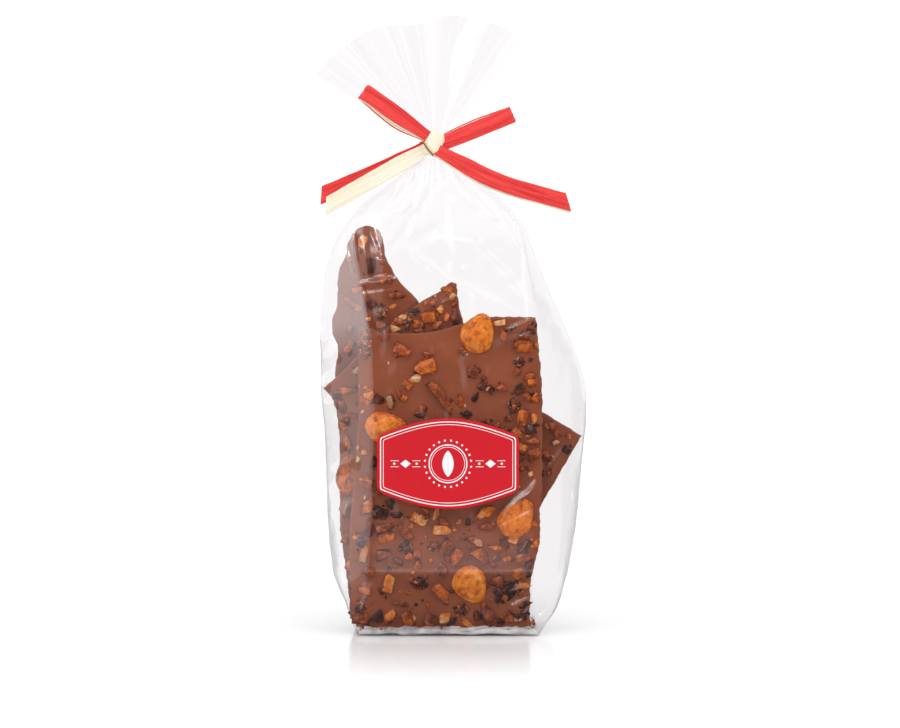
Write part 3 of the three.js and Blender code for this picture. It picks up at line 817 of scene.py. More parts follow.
def make_slab(name, slab, mounds, material):
    points, faces, marks, start = [], [], [], 0
    for grid, broken in slab_points(slab, mounds):
        rows, columns = grid.shape[:2]
        points.append(grid.reshape(-1, 3))
        marks.append(np.repeat(broken.reshape(-1, 1), 3, axis=1))
        faces.append(grid_faces(rows, columns, start=start))
        start += rows * columns
    piece = put_piece(name, np.concatenate(points), np.concatenate(faces), material,
                      {"mark": np.concatenate(marks)})
    face_outwards(piece)


# ---------------------------------------------------------------------------------------------- the nuts

AMBER, RUSSET, DARK, PALE = 0.31, 0.46, 0.69, 0.08

# Chopped almond and caramel that stand out, by slab: x, z, length, width, turn in degrees, roast
CHOPPED = {
    "bark_front": [
        (-23.8, 142.5, 9.5, 6.2, -32, RUSSET), (-10, 139.6, 7, 4.2, -12, RUSSET),
        (-12.7, 134.2, 13.5, 7, 18, AMBER), (-15.3, 128.6, 7, 4.6, 12, PALE),
        (-20.7, 125, 4.8, 4.4, -30, AMBER), (-24.7, 121, 6.5, 3.6, 80, RUSSET),
        (-22, 119, 4.8, 3.4, 70, AMBER), (-28.7, 117.3, 8, 4.8, 75, RUSSET), (-34.6, 118, 7, 5, -35, DARK),
        (-40.8, 120, 9.5, 7, 60, AMBER), (-3.3, 119.3, 22, 5.2, -50, RUSSET),
        (5.6, 116.8, 8.5, 4.4, -68, AMBER), (-13, 111.6, 7.6, 6, 60, RUSSET),
        (7, 142.4, 5.8, 3.4, -50, RUSSET), (-31.4, 150, 6.2, 5.4, -60, RUSSET),
        (27.8, 149.7, 7.2, 4, 78, AMBER), (37.8, 150, 7.2, 5.2, -60, RUSSET),
        (38.6, 144.9, 15, 6.4, 2, AMBER), (26, 156.6, 6, 3.6, 5, PALE), (41.3, 137.7, 2.8, 2.4, 0, DARK),
        (34.7, 131.2, 4.4, 4, 50, AMBER), (40, 129.6, 6.8, 4, 8, RUSSET), (43, 126.2, 7, 4.2, 5, RUSSET),
        (12.3, 132, 9.6, 5.8, -38, RUSSET), (18, 127.8, 4.4, 4, -50, RUSSET),
        (16.4, 124.4, 6, 4.2, -5, RUSSET), (21.3, 123.4, 5.4, 4.2, -38, RUSSET),
        (27, 124, 6.6, 4.6, -25, RUSSET), (13.9, 119.4, 5, 4, 20, DARK), (35.4, 123.6, 6, 5.4, 40, DARK),
        (39.5, 120.2, 5.6, 5, 60, AMBER), (43.4, 118, 9.8, 4.4, 58, RUSSET),
        (37.4, 109.5, 9.6, 5.2, 80, AMBER), (43, 108.6, 5.6, 4.2, 65, PALE),
        (28.9, 102.6, 5.6, 5, -30, RUSSET), (34.7, 101.7, 7.2, 5.6, 45, AMBER),
        (42.8, 97.8, 8.4, 5.2, -8, RUSSET), (41.6, 103.4, 7, 5.2, 10, DARK),
        (36.6, 93.2, 6.6, 5.6, 65, AMBER), (43, 91, 8.4, 6, 25, RUSSET),
        (24.6, 105.2, 4.6, 3.2, 60, RUSSET), (30.2, 108.6, 4, 3.2, 20, RUSSET),
        (-41.4, 76.4, 8.4, 5.4, -15, AMBER), (-33.8, 72.6, 7.4, 5, 22, RUSSET),
        (-37.4, 86.8, 6.8, 4, 70, DARK), (-40.8, 64.4, 11, 5.4, 82, AMBER),
        (-39.4, 54, 10, 4.4, 105, RUSSET), (-25.8, 60.4, 5.6, 4.6, -30, DARK),
        (-30.6, 54.4, 12.4, 5, 8, RUSSET), (-31, 49.2, 11.6, 5.2, 18, RUSSET),
        (-21.2, 51.8, 11, 5.6, -58, RUSSET), (-18.4, 54, 3.8, 3, 60, AMBER),
        (-33.4, 40.4, 10.6, 6.6, 15, RUSSET), (-41.8, 41.4, 12, 4, 78, AMBER),
        (-15.4, 41.2, 7, 3.8, 85, AMBER), (-18.8, 38.8, 5.6, 4.6, -30, AMBER),
        (-14.9, 58.2, 9.6, 5.6, -32, AMBER), (-10, 59.4, 4.4, 3.8, 80, RUSSET),
        (-6, 60.2, 8.4, 4, 88, AMBER), (-1.9, 57, 5.6, 4.2, -8, RUSSET), (-2.8, 52.4, 12.2, 5, -2, 0.2),
        (-11.8, 63, 4.8, 3.6, -20, RUSSET), (18.6, 61.6, 11, 6.2, 47, 0.2), (19, 54, 7.6, 5.6, 25, RUSSET),
        (-2.2, 42.8, 11.6, 5, 56, RUSSET), (3.5, 39, 9.4, 6, 58, AMBER), (12.8, 48.4, 5, 3.6, 10, AMBER),
        (14.4, 46.2, 7.4, 4.4, -12, RUSSET), (15.9, 40.4, 12, 5.8, -32, RUSSET),
        (24, 43.8, 8.2, 3.4, -24, AMBER), (28.6, 45.2, 10.6, 4.2, -66, RUSSET),
        (29.8, 37.6, 4.6, 4, 40, 0.2), (32.6, 47.4, 5.4, 3.6, -20, PALE), (37.8, 44.8, 8, 6, 70, DARK),
        (43.6, 46.6, 6, 3.6, 80, PALE), (41.6, 56, 7.4, 5.4, -60, RUSSET), (36.9, 39, 9.6, 4.8, 18, RUSSET),
        (41, 34, 9.6, 4.2, 85, DARK), (23.5, 36.2, 8.6, 3.4, 62, RUSSET), (34.7, 31.6, 7, 5.6, 70, AMBER),
        (37.4, 24.7, 7.4, 5.6, -30, AMBER), (23.9, 26.4, 9.6, 6, 15, RUSSET),
        (-15.3, 34, 7, 4.2, 62, AMBER), (-2.4, 32.2, 8, 5.6, -42, RUSSET), (-11.6, 29.4, 5, 3, 10, RUSSET),
        (-39.4, 31.4, 7.4, 4.8, -14, RUSSET), (-29.6, 26, 10.8, 5.4, 76, 0.22),
        (-32.4, 22.4, 5, 4, 30, DARK), (-2.8, 20.8, 12.8, 6, -42, AMBER), (1.4, 22.6, 4.4, 3.6, 0, DARK),
        (-42, 22.4, 10.4, 4.4, -8, AMBER), (-21.6, 15.4, 5, 2.8, 10, RUSSET),
        (-43.4, 7.6, 8, 6, -30, RUSSET), (-35, 8.8, 9.6, 5.2, 42, DARK), (-29.2, 9.4, 10.6, 5.8, 60, AMBER),
        (-20.3, 7.8, 8.6, 6, -62, AMBER), (-9.5, 6.6, 8.4, 5.4, 70, RUSSET), (-2, 8.4, 9.6, 5.4, 78, PALE),
        (2, 6.8, 7, 4, 70, DARK), (14.6, 9.4, 6.6, 4.6, -50, DARK), (20, 9.4, 12, 7.6, -66, RUSSET),
        (25.4, 6.4, 6, 4, 30, DARK), (30.6, 8.4, 9, 4.6, 60, RUSSET), (39.6, 15.6, 6.6, 5, 0, DARK),
        (9.6, 5.6, 6.6, 3, -40, PALE), (-43.6, 45.8, 7, 5, 60, DARK), (-42.2, 91.6, 4, 3, 0, PALE),
        (-44, 50.4, 5, 4, 0, RUSSET), (-25, 36.8, 5.4, 4, 0, RUSSET), (-29.6, 33.2, 3, 2.6, 0, DARK),
        (-42.8, 112, 2.8, 1.8, 30, PALE), (-45.2, 94.2, 3, 1.9, 60, PALE), (-45, 88, 3.4, 2, 80, PALE),
        (-46.4, 49.2, 3.2, 2.4, 20, PALE), (-44.6, 125, 2.2, 1.5, 70, PALE),
        (-29.8, 136.4, 1.5, 1.2, 80, PALE), (-9.6, 80, 6, 5, 20, RUSSET), (12, 90, 8, 5, -40, AMBER),
        (4, 74, 7, 5, 10, RUSSET),
    ],
    "bark_tall": [
        (-43.4, 196.8, 8, 5, 70, AMBER), (-38.4, 184.2, 8.4, 5.2, 80, RUSSET),
        (-32.8, 178, 8, 5.4, -20, AMBER), (-45.9, 172.4, 8.6, 4, 4, AMBER),
        (-25.4, 169.8, 14.6, 3.8, 12, RUSSET), (-27.8, 164.3, 4.2, 3.2, -20, 0.12),
        (-38.6, 165.8, 6.4, 4.6, -65, RUSSET), (-34.2, 155, 6.6, 4, -5, AMBER),
        (-48.2, 165.6, 13, 4, -28, RUSSET), (-50.4, 143.6, 10, 4.4, 58, AMBER),
        (-40.4, 157.6, 3, 2.4, 0, PALE), (-49.6, 152, 6, 4, 20, RUSSET), (-41.2, 140.6, 8, 5, 30, RUSSET),
    ],
    "bark_middle": [
        (0.8, 173.6, 7.6, 4.2, 25, AMBER), (1.9, 169, 5.4, 3.8, 60, PALE),
        (-7.3, 166.2, 6, 4.2, 70, RUSSET), (-10.6, 166, 3.4, 2.8, 0, AMBER), (-3.5, 162.2, 5, 4, -60, 0.12),
        (-9.5, 159, 8, 6.6, 10, AMBER), (-14.4, 155, 6, 5.4, -40, AMBER), (-6, 154.6, 8.8, 4.2, 33, AMBER),
        (-27, 153.4, 6, 4, 20, PALE), (-22.6, 159, 5, 3.8, 40, PALE), (-0.4, 158.4, 5, 3.6, 60, AMBER),
        (3.4, 159.2, 8, 5.2, -60, RUSSET), (3, 165.4, 4.4, 3.8, 20, RUSSET),
        (-24.6, 155.8, 6, 4.4, 60, RUSSET), (-14, 151.4, 8, 4.6, 10, RUSSET),
        (-1.6, 167.6, 4, 3.4, 0, RUSSET),
    ],
    "bark_left": [
        (-50.8, 122, 7.6, 4.6, -8, AMBER), (-46.2, 131.6, 6.6, 4, 62, AMBER),
        (-53.6, 113.8, 7.6, 5.6, -50, RUSSET), (-47.8, 109.4, 8, 3.8, -8, RUSSET),
        (-52.4, 104.4, 7, 4.8, 50, RUSSET), (-51, 95, 10.4, 4.2, 82, AMBER), (-40.6, 112, 8, 5, 60, RUSSET),
        (-56.2, 119.6, 5, 4, 0, DARK), (-50.4, 62, 9, 5, 80, RUSSET), (-51.2, 47.6, 8, 4.6, 70, RUSSET),
        (-48.8, 34, 9, 5, 60, AMBER), (-47.6, 22, 7, 5, 20, DARK), (-46.6, 10, 8, 5, 40, RUSSET),
    ],
    "bark_right": [
        (53.9, 101.2, 10.4, 4, -62, RUSSET), (50.8, 103.6, 4.4, 3.6, 0, AMBER),
        (49.6, 88, 8.6, 5.2, -55, RUSSET), (61.4, 98, 3.4, 3, 0, AMBER), (54.6, 95, 4, 3.4, 30, RUSSET),
    ],
    "bark_back": [],
}
# Crumbly caramel in clumps: x, z, length, width, turn, how many bits, roast
CLUMPS = {
    "bark_front": [
        (28.6, 21.4, 13, 10, 35, 44, 0.72), (35.4, 24.2, 8, 8, 0, 22, 0.66),
        (-14.9, 26.2, 11, 7, -12, 30, 0.70), (-34.6, 61, 9, 8.4, 0, 26, 0.66),
        (-29.4, 66, 7.6, 6.4, 20, 18, 0.78), (33.2, 114.8, 8.6, 7.4, 60, 28, 0.66),
        (36.6, 9.6, 10.4, 7.6, 20, 24, 0.62), (35.6, 136.8, 6.2, 6, 0, 16, 0.70),
        (-41.6, 145.6, 17, 6.6, 90, 70, 0.44), (-43.6, 14.5, 9, 6.4, 80, 22, 0.54),
        (-21, 44.2, 8, 7, 70, 20, 0.62), (-6.6, 45, 7.6, 6.4, 30, 20, 0.62),
        (6.5, 12.8, 8.6, 6.6, 15, 22, 0.62), (8.8, 110.4, 7, 5, 10, 18, 0.78),
        (19.5, 106.2, 8, 4.4, 5, 16, 0.74), (42, 153.6, 7.6, 6, 80, 18, 0.66),
        (30.8, 153.8, 6.6, 4.4, 15, 14, 0.64), (36, 100.4, 7, 5, 20, 14, 0.60),
    ],
    "bark_tall": [(-33.2, 161.6, 9.8, 7, 80, 26, 0.58)],
    "bark_middle": [
        (-17.4, 161.9, 7, 5, -10, 18, 0.84), (-20.2, 156.2, 9.6, 5.4, 58, 20, 0.60),
        (3, 163, 9, 4, 80, 16, 0.50),
    ],
    "bark_right": [
        (60.4, 92.2, 6, 5.6, 0, 16, 0.66), (53.9, 101.2, 10, 4.4, -62, 18, 0.52),
        (50.2, 80, 7, 5, 60, 14, 0.64),
    ],
    "bark_left": [
        (-43, 124, 9, 5.6, 20, 18, 0.66), (-56.2, 119.6, 7, 5, 40, 14, 0.62),
        (-50.6, 106, 8, 5, 60, 16, 0.62),
    ],
}
# How many more pieces lie on each slab by chance
SCATTERED = {"bark_front": 60, "bark_left": 24, "bark_tall": 34, "bark_middle": 14, "bark_right": 16,
             "bark_back": 150}

# Whole almonds: slab, x, z, length, width, turn, roast; the roast of the one on bark_left is raised as
# painted shade, for the shadow it lies in
WHOLE = [
    ("bark_front", 15.0, 151.2, 20.5, 16.6, 68, 0.30), ("bark_front", -31.6, 104.3, 20.5, 15.2, 4, 0.28),
    ("bark_front", 34.4, 58.4, 21.5, 17.2, 56, 0.36), ("bark_front", 11.2, 25.2, 20.0, 16.6, -62, 0.25),
    # painted shade: the bark_left almond's roast of 0.52 darkens it
    ("bark_left", -49.4, 79, 20.5, 14.5, 86, 0.52), ("bark_back", -18, 112, 20, 15.6, 30, 0.3),
    ("bark_back", 20, 76, 20.5, 16, -50, 0.28), ("bark_back", -12, 36, 20, 16, 80, 0.34),
    ("bark_back", 22, 126, 19.5, 15.4, 10, 0.3),
]
# A chopped piece: how thick it is for its width, how deep it sits in the chocolate, and how much it tilts
CHIP = {"thick": (0.5, 0.8), "sunk": 0.30, "tilt": 0.20}
# Bits that broke off the pieces above a length: how likely they are, and their size for the piece's width
BROKEN_OFF = {"above": 5, "chance": 0.7, "size": (0.28, 0.5)}


def cube_directions(cells):
    """Points of a cube's surface, a grid of cells on each of its six faces with shared edges once, and
    quads."""
    step = np.tan(np.linspace(-1, 1, cells + 1) * np.pi / 4)
    a, b = np.meshgrid(step, step)
    one = np.ones_like(a)
    sheets = ((one, a, b), (-one, -a, b), (-a, one, b), (a, -one, b), (a, b, one), (a, -b, -one))
    points = np.concatenate([np.stack(sheet, -1).reshape(-1, 3) for sheet in sheets])
    quads = np.concatenate([grid_faces(cells + 1, cells + 1, start=k * (cells + 1) ** 2) for k in range(6)])
    _, first, where = np.unique(np.round(points, 6), axis=0, return_index=True, return_inverse=True)
    return unit(points[first]), where.reshape(-1)[quads]


def lying_frame(slab, turn, tilt):
    """Columns: along the piece, across it, and out of the slab's face, for arrays of turns, tilted a
    little."""
    along = np.stack([np.cos(turn), 0 * turn, np.sin(turn)], -1)
    out = unit(np.stack([tilt[:, 0], outward(slab) + 0 * turn, tilt[:, 1]], -1))
    along = unit(along - out * (along * out).sum(-1, keepdims=True))
    return np.stack([along, np.cross(out, along), out], -1)


def cut_block(dice, half):
    """One chopped piece as (corners, faces): a box cut by random planes and chamfered along every edge."""
    shape = bmesh.new()
    bmesh.ops.create_cube(shape, size=2.0)
    for corner in shape.verts:
        corner.co = [side * length * dice.uniform(0.82, 1.0) for side, length in zip(corner.co, half)]
    for _ in range(int(dice.integers(3, 6))):
        normal = unit(dice.normal(size=3) * [1.0, 1.0, 0.8])
        reach = np.linalg.norm(normal * half)
        place = normal * reach * dice.uniform(0.50, 0.85)
        everything = shape.verts[:] + shape.edges[:] + shape.faces[:]
        made = bmesh.ops.bisect_plane(shape, geom=everything, plane_co=place, plane_no=normal,
                                      clear_outer=True)
        rim = [piece for piece in made["geom_cut"] if isinstance(piece, bmesh.types.BMEdge)]
        if len(rim) > 2:
            bmesh.ops.contextual_create(shape, geom=rim)
    bmesh.ops.remove_doubles(shape, verts=shape.verts, dist=0.12 * min(half))
    bmesh.ops.bevel(shape, geom=shape.edges[:], offset=0.22 * min(half), offset_type="OFFSET", segments=1,
                    profile=0.5, affect="EDGES", clamp_overlap=True)
    shape.verts.index_update()
    corners = np.array([corner.co[:] for corner in shape.verts])
    faces = [[corner.index for corner in face.verts] for face in shape.faces]
    shape.free()
    corners += dice.normal(0, 0.07 * min(half), corners.shape)
    return corners, faces


def face_area(corners):
    """Area of a flat polygon in space: half the length of the sum of its edges' cross products."""
    return 0.5 * np.linalg.norm(np.cross(corners, np.roll(corners, -1, axis=0)).sum(0))


def turned_from(x, z, along, beside, turn):
    """The place at that much along and beside a direction, from x, z."""
    return (x + along * math.cos(turn) - beside * math.sin(turn),
            z + along * math.sin(turn) + beside * math.cos(turn))


def clump_bits(dice, clump):
    """The bits of one clump of caramel, thrown within its oval and heaped up towards its middle; each as a
    place with its rise."""
    x, z, length, width, turn, count, roast = clump
    t = math.radians(turn)
    bits = []
    for _ in range(count):
        a, r = dice.uniform(0, 2 * np.pi), math.sqrt(dice.random())
        along, beside = 0.44 * length * r * math.cos(a), 0.44 * width * r * math.sin(a)
        size = dice.uniform(0.20, 0.40) * width * (1.1 - 0.4 * r)
        shade = float(np.clip(roast + dice.normal(0, 0.17), 0.1, 1))
        bits.append((*turned_from(x, z, along, beside, t), size * 1.35, size, dice.uniform(-90, 90), shade,
                     0.24 * width * (1 - r)))
    return bits


def chips(slab, places, clumps, seed):
    """All the chopped pieces of a slab, each lying in its place; a face's mark is how dark it roasted, with
    darker skin on some faces and pale flesh on others, and painted shade that darkens each piece towards its
    foot."""
    dice = np.random.default_rng(seed)
    out = outward(slab)
    points, faces, marks, start = [], [], [], 0
    broken_off = []
    for x, z, length, width, turn, roast in places:  # small bits that broke off the larger pieces
        if length > BROKEN_OFF["above"] and dice.random() < BROKEN_OFF["chance"]:
            for _ in range(int(dice.integers(1, 3))):
                a, size = dice.uniform(0, 2 * np.pi), dice.uniform(*BROKEN_OFF["size"]) * width
                along, beside = math.cos(a) * length * 0.5, math.sin(a) * width * 0.5
                bit_x, bit_z = turned_from(x, z, along, beside, math.radians(turn))
                lies = dice.uniform(-90, 90)
                shade = float(np.clip(roast + dice.normal(0.05, 0.15), 0, 1))
                broken_off.append((bit_x, bit_z, size * 1.3, size, lies, shade))
    pieces = [(*place, 0.0) for place in list(places) + keep_on_slab(slab, broken_off)]
    for clump in clumps:
        pieces += keep_on_slab(slab, clump_bits(dice, clump))
    for x, z, length, width, turn, roast, rise in pieces:
        half = np.array([length, width, width * dice.uniform(*CHIP["thick"])]) / 2
        corners, sides = cut_block(dice, half)
        lying = lying_frame(slab, np.radians(np.array([turn])), dice.normal(0, CHIP["tilt"], (1, 2)))[0]
        lift = half[2] * (1 - 2 * CHIP["sunk"]) + rise
        centre = np.array([x, slab_face(slab, np.array(x), np.array(z)) + out * lift, z])
        points.append(corners @ lying.T + centre)
        base = roast + 0.05 + dice.normal(0, 0.05)
        for side in sides:
            faces.append([start + corner for corner in side])
            broad = face_area(corners[side]) > 0.3 * width * width / 4
            skin = 0.0
            if not broad or dice.random() < 0.1:
                skin = dice.uniform(0.05, 0.25) * (0.3 if broad else 1.3)
            flesh = dice.uniform(0.3, 0.7) if broad and dice.random() < 0.03 else 0.0
            shade = base + skin + dice.normal(0, 0.06)
            painted_foot_shade = 0.28 * smooth(-corners[side, 2] / half[2], 0.0, 0.8)  # painted shade: darker towards its foot, where it meets the chocolate
            marks.append([[min(1.0, max(0.0, shade + low)), flesh * (1 - 2 * low), 0.0] for low in painted_foot_shade])
        start += len(corners)
    return np.concatenate(points), faces, np.concatenate(marks)


def whole_almond(slab, x, z, length, width, turn, roast, seed):
    """A whole almond in its sugar coat: an ellipsoid drawn in towards one end, with broad lumps and
    grains."""
    rays, quads = cube_directions(26)
    half = np.array([length, width, width * 0.60]) / 2
    a = rays[:, 0]
    narrow = 1 - 0.20 * a - 0.10 * a**2
    body = rays * half
    body[:, 1] *= narrow
    body[:, 2] *= 1 - 0.12 * a
    body[:, 0] *= 1 + 0.03 * a
    lumps = 0.032 * ripple(rays, 0.9, seed, 2) + 0.014 * ripple(rays, 0.22, seed + 1, 3)
    body *= (1 + lumps)[:, None]
    dice = np.random.default_rng(seed + 2)
    frame_of = lying_frame(slab, np.radians(np.array([turn])), dice.normal(0, 0.06, (1, 2)))[0]
    out = outward(slab)
    centre = np.array([x, slab_face(slab, np.array(x), np.array(z)) + out * half[2] * 0.10, z])
    points = body @ frame_of.T + centre
    spots = smooth(ripple(rays, 0.55, seed + 3, 3), 0.25, 0.9)
    darkness = np.clip(roast + 0.20 * spots + 0.05 * ripple(rays, 0.3, seed + 4), 0, 1)
    marks = np.stack([darkness, 0 * spots, 0 * spots], -1)
    return points, quads, marks


def keep_on_slab(slab, places):
    """The same places, moved in where a piece would hang over the slab's side by more than a quarter."""
    if "turn" in slab:
        return places
    kept = []
    for x, z, length, *rest in places:
        low = float(through(slab["left"], z)) + 0.25 * length
        high = float(through(slab["right"], z)) - 0.25 * length
        kept.append((min(max(x, low), high), max(z, 3 + 0.3 * length), length, *rest))
    return kept


def scatter_places(slab, taken, count):
    """More chopped pieces by chance: thrown over the slab and kept where they clear the others and the
    rim."""
    dice = np.random.default_rng(slab["seed"] + 500)
    kept = [place[:3] for place in taken]
    added = []
    for _ in range(count * 12):
        if len(added) >= count:
            break
        s, t = dice.uniform(0.06, 0.94), dice.uniform(0.03, 0.97)
        size = dice.choice([1.6, 2.4, 3.4, 4.8, 6.4], p=[0.28, 0.26, 0.22, 0.15, 0.09])
        own_x, own_z = slab_outline(slab, np.array(s), np.array(t))
        x, z = (float(v) for v in slab_frame(slab, own_x, own_z))
        if not any(x0 < x < x1 and z0 < z < z1 for x0, x1, z0, z1 in slab.get("fill", [(-99, 99, 0, 999)])):
            continue
        if all(math.hypot(x - px, z - pz) > 0.48 * (size + other) for px, pz, other in kept):
            kept.append((x, z, size))
            roast = dice.choice([PALE, AMBER, RUSSET, DARK, 0.95], p=[0.06, 0.24, 0.40, 0.24, 0.06])
            added.append((x, z, size * 1.15, size * dice.uniform(0.6, 0.9), dice.uniform(-90, 90), roast))
    return added


def crumbs(count, seed):
    """Small crumbs of almond and caramel lying on the folded bottom inside the bag, most by the right
    corner."""
    dice = np.random.default_rng(seed)
    rays, quads = cube_directions(2)
    x = np.where(dice.random(count) < 0.35, dice.normal(42, 2.4, count), dice.uniform(-43, 44, count))
    y = np.where(x > 40.5, dice.uniform(-20, 16, count), dice.uniform(-25.4, -22.6, count))
    size = dice.uniform(0.5, 1.7, count) * np.where(x > 40.5, 1.25, 0.8)
    body = rays[None] * size[:, None, None] * dice.uniform(0.35, 0.65, (count, 1, 3))
    body *= 1 + dice.normal(0, 0.16, (count, len(rays), 1))
    centre = np.stack([np.clip(x, -43, 43.5), y, 3.1 + size * 0.4], -1)
    roast = dice.choice([PALE, AMBER, RUSSET, DARK], count, p=[0.15, 0.3, 0.35, 0.2])
    marks = np.stack([roast[:, None] + np.zeros((1, len(rays)))] * 3, -1)
    marks[..., 1] = 0
    faces = (quads[None] + (np.arange(count) * len(rays))[:, None, None]).reshape(-1, 4)
    return (body + centre[:, None]).reshape(-1, 3), faces, marks.reshape(-1, 3)


def join(parts):
    """Several (points, faces, marks) as one."""
    points, faces, marks, start = [], [], [], 0
    for part_points, part_faces, part_marks in parts:
        points.append(part_points)
        faces.append(part_faces + start)
        marks.append(part_marks)
        start += len(part_points)
    return np.concatenate(points), np.concatenate(faces), np.concatenate(marks)


ROAST_CHOPPED = [(0.0, (0.80, 0.52, 0.26)), (0.13, (0.76, 0.30, 0.06)), (0.24, (0.70, 0.18, 0.016)),
                 (0.36, (0.54, 0.110, 0.009)), (0.52, (0.27, 0.043, 0.005)), (0.72, (0.09, 0.016, 0.005)),
                 (1.0, (0.030, 0.009, 0.005))]
ROAST_WHOLE = [(0.0, (0.88, 0.43, 0.11)), (0.22, (0.85, 0.252, 0.015)), (0.42, (0.68, 0.155, 0.009)),
               (0.62, (0.36, 0.062, 0.008)), (1.0, (0.10, 0.02, 0.008))]


def make_bark():
    chocolate = chocolate_material()
    chopped_coat = almond_material("caramelised_chips", ROAST_CHOPPED, 330.0, 0.35)
    whole_coat = almond_material("caramelised_almond", ROAST_WHOLE, 150.0, 0.1)
    whole_parts = []
    for index, (slab_name, x, z, length, width, turn, roast) in enumerate(WHOLE):
        whole_parts.append(whole_almond(SLABS[slab_name], x, z, length, width, turn, roast, 700 + 10 * index))
    for name, slab in SLABS.items():
        wholes = [(x, z, length * 0.9) for where, x, z, length, *_ in WHOLE if where == name]
        taken = CHOPPED[name] + CLUMPS.get(name, []) + wholes
        places = keep_on_slab(slab, CHOPPED[name]) + scatter_places(slab, taken, SCATTERED[name])
        mounds = [place[:3] for place in places + CLUMPS.get(name, []) if place[2] > 3] + wholes
        make_slab(name, slab, mounds, chocolate)
        points, faces, marks = chips(slab, places, CLUMPS.get(name, []), slab["seed"] + 900)
        put_piece(f"chips_{name[5:]}", points, faces, chopped_coat, {"mark": marks},
                  weld=False, by_corner=True)
    points, faces, marks = join(whole_parts)
    put_piece("whole_almonds", points, faces, whole_coat, {"mark": marks}, weld=False)
    points, faces, marks = crumbs(70, 61)
    put_piece("crumbs", points, faces, chopped_coat, {"mark": marks}, weld=False)


# ---------------------------------------------------------------------------------------------- label

LABEL = {"half_width": 35.4, "half_height": 22.6, "z": 86.5, "round": 13.6, "slope": 0.5, "corner": 3.0,
         "thick": 0.4, "gap": 0.3}


PRINT_EDGE = 0.12  # how soft the edge of the print is
BEADS = {"count": 24, "ring": 11.6, "size": 0.5}
LOZENGE_AT = 21.2


def label_half_height(x):
    """Half the label's height: a hyperbola, nearly straight at the sides, dropping round a corner at the
    end."""
    drop = np.hypot(LABEL["round"], LABEL["slope"] * x) - LABEL["round"]
    into_corner = np.maximum(0, np.abs(x) - (LABEL["half_width"] - LABEL["corner"]))
    corner = LABEL["corner"] - np.sqrt(np.maximum(0, LABEL["corner"] ** 2 - into_corner**2))
    return LABEL["half_height"] - drop - corner


def label_material():
    """Red coated paper with a white line and a thin line along its edge and a small plain ornament, drawn by
    distance from the label's own outline."""
    material, tree = new_material("label_print")
    place = place_in_metres(tree)
    x = maths(tree, "ABSOLUTE", times(tree, place["X"], 1 / MM))
    up = minus(tree, times(tree, place["Z"], 1 / MM), LABEL["z"])
    z = maths(tree, "ABSOLUTE", up)
    leg = times(tree, x, LABEL["slope"])
    curve = length_of(tree, leg, LABEL["round"])
    edge = minus(tree, LABEL["half_height"] + LABEL["round"], curve)
    slope_cosine = maths(tree, "DIVIDE", curve, length_of(tree, curve, times(tree, leg, LABEL["slope"])))
    from_curve = times(tree, minus(tree, edge, z), slope_cosine)
    from_side = minus(tree, LABEL["half_width"], x)
    inside = maths(tree, "SMOOTH_MIN", from_curve, from_side, 1.6)

    def line(value, middle, half):
        """1 on a line at that value of a distance and 0 off it, over the soft edge of the print."""
        return filled(minus(tree, maths(tree, "ABSOLUTE", minus(tree, value, middle)), half))

    def filled(distance):
        """1 where a distance is below 0, over the soft edge of the print."""
        return maths(tree, "MULTIPLY", less(PRINT_EDGE / 2, distance), 1 / PRINT_EDGE, clamp=True)

    def length(a, b):
        return length_of(tree, a, b)

    def less(a, b):
        return minus(tree, a, b)

    def with_all(*masks):
        total = masks[0]
        for mask in masks[1:]:
            total = maths(tree, "MAXIMUM", total, mask)
        return total

    radius = length(x, up)
    almond = less(length(plus(tree, x, 3.4), times(tree, up, 0.8)), 6.2)
    vein = times(tree, line(x, 0.0, 0.09), filled(less(z, 4.6)))
    bead_pitch = 2 * math.pi / BEADS["count"]
    step = less(maths(tree, "FRACT", times(tree, maths(tree, "ARCTAN2", up, x), 1 / bead_pitch)), 0.5)
    round_ring_of_beads = times(tree, step, bead_pitch * BEADS["ring"])
    beads = filled(less(length(round_ring_of_beads, less(radius, BEADS["ring"])), BEADS["size"]))
    rules = times(tree, line(z, 1.5, 0.14), times(tree, filled(less(13.8, x)), filled(less(x, 28.6))))
    from_lozenge = maths(tree, "ABSOLUTE", less(x, LOZENGE_AT))
    lozenge = filled(less(plus(tree, from_lozenge, times(tree, z, 1.3)), 2.6))
    dots = with_all(*(filled(less(length(less(x, place), z), 0.55)) for place in (15.6, 26.8)))
    gap = less(1.0, filled(less(from_lozenge, 3.4)))
    border = [line(inside, 1.75, 0.26), line(inside, 3.1, 0.14)]
    ring = [line(radius, 9.4, 0.26), line(radius, 8.3, 0.12)]
    kernel = maths(tree, "SUBTRACT", filled(almond), vein, clamp=True)
    white = with_all(*border, *ring, kernel, beads, lozenge, dots, times(tree, rules, gap))
    grain = noise(tree, object_place(tree), 700.0, detail=2)
    red = ramp(tree, grain, [(0.3, (0.56, 0.011, 0.020)), (0.7, (0.59, 0.0125, 0.0225))])
    colour = mix_colours(tree, white, red, (0.93, 0.90, 0.90))
    normal = bump(tree, grain, 0.04, 0.0003)
    shader = add(tree, "ShaderNodeBsdfPrincipled", inputs={
        "Base Color": colour, "Roughness": 0.5, "Normal": normal, "Specular IOR Level": 0.15})
    finish_material(tree, shader.outputs[0])
    return material


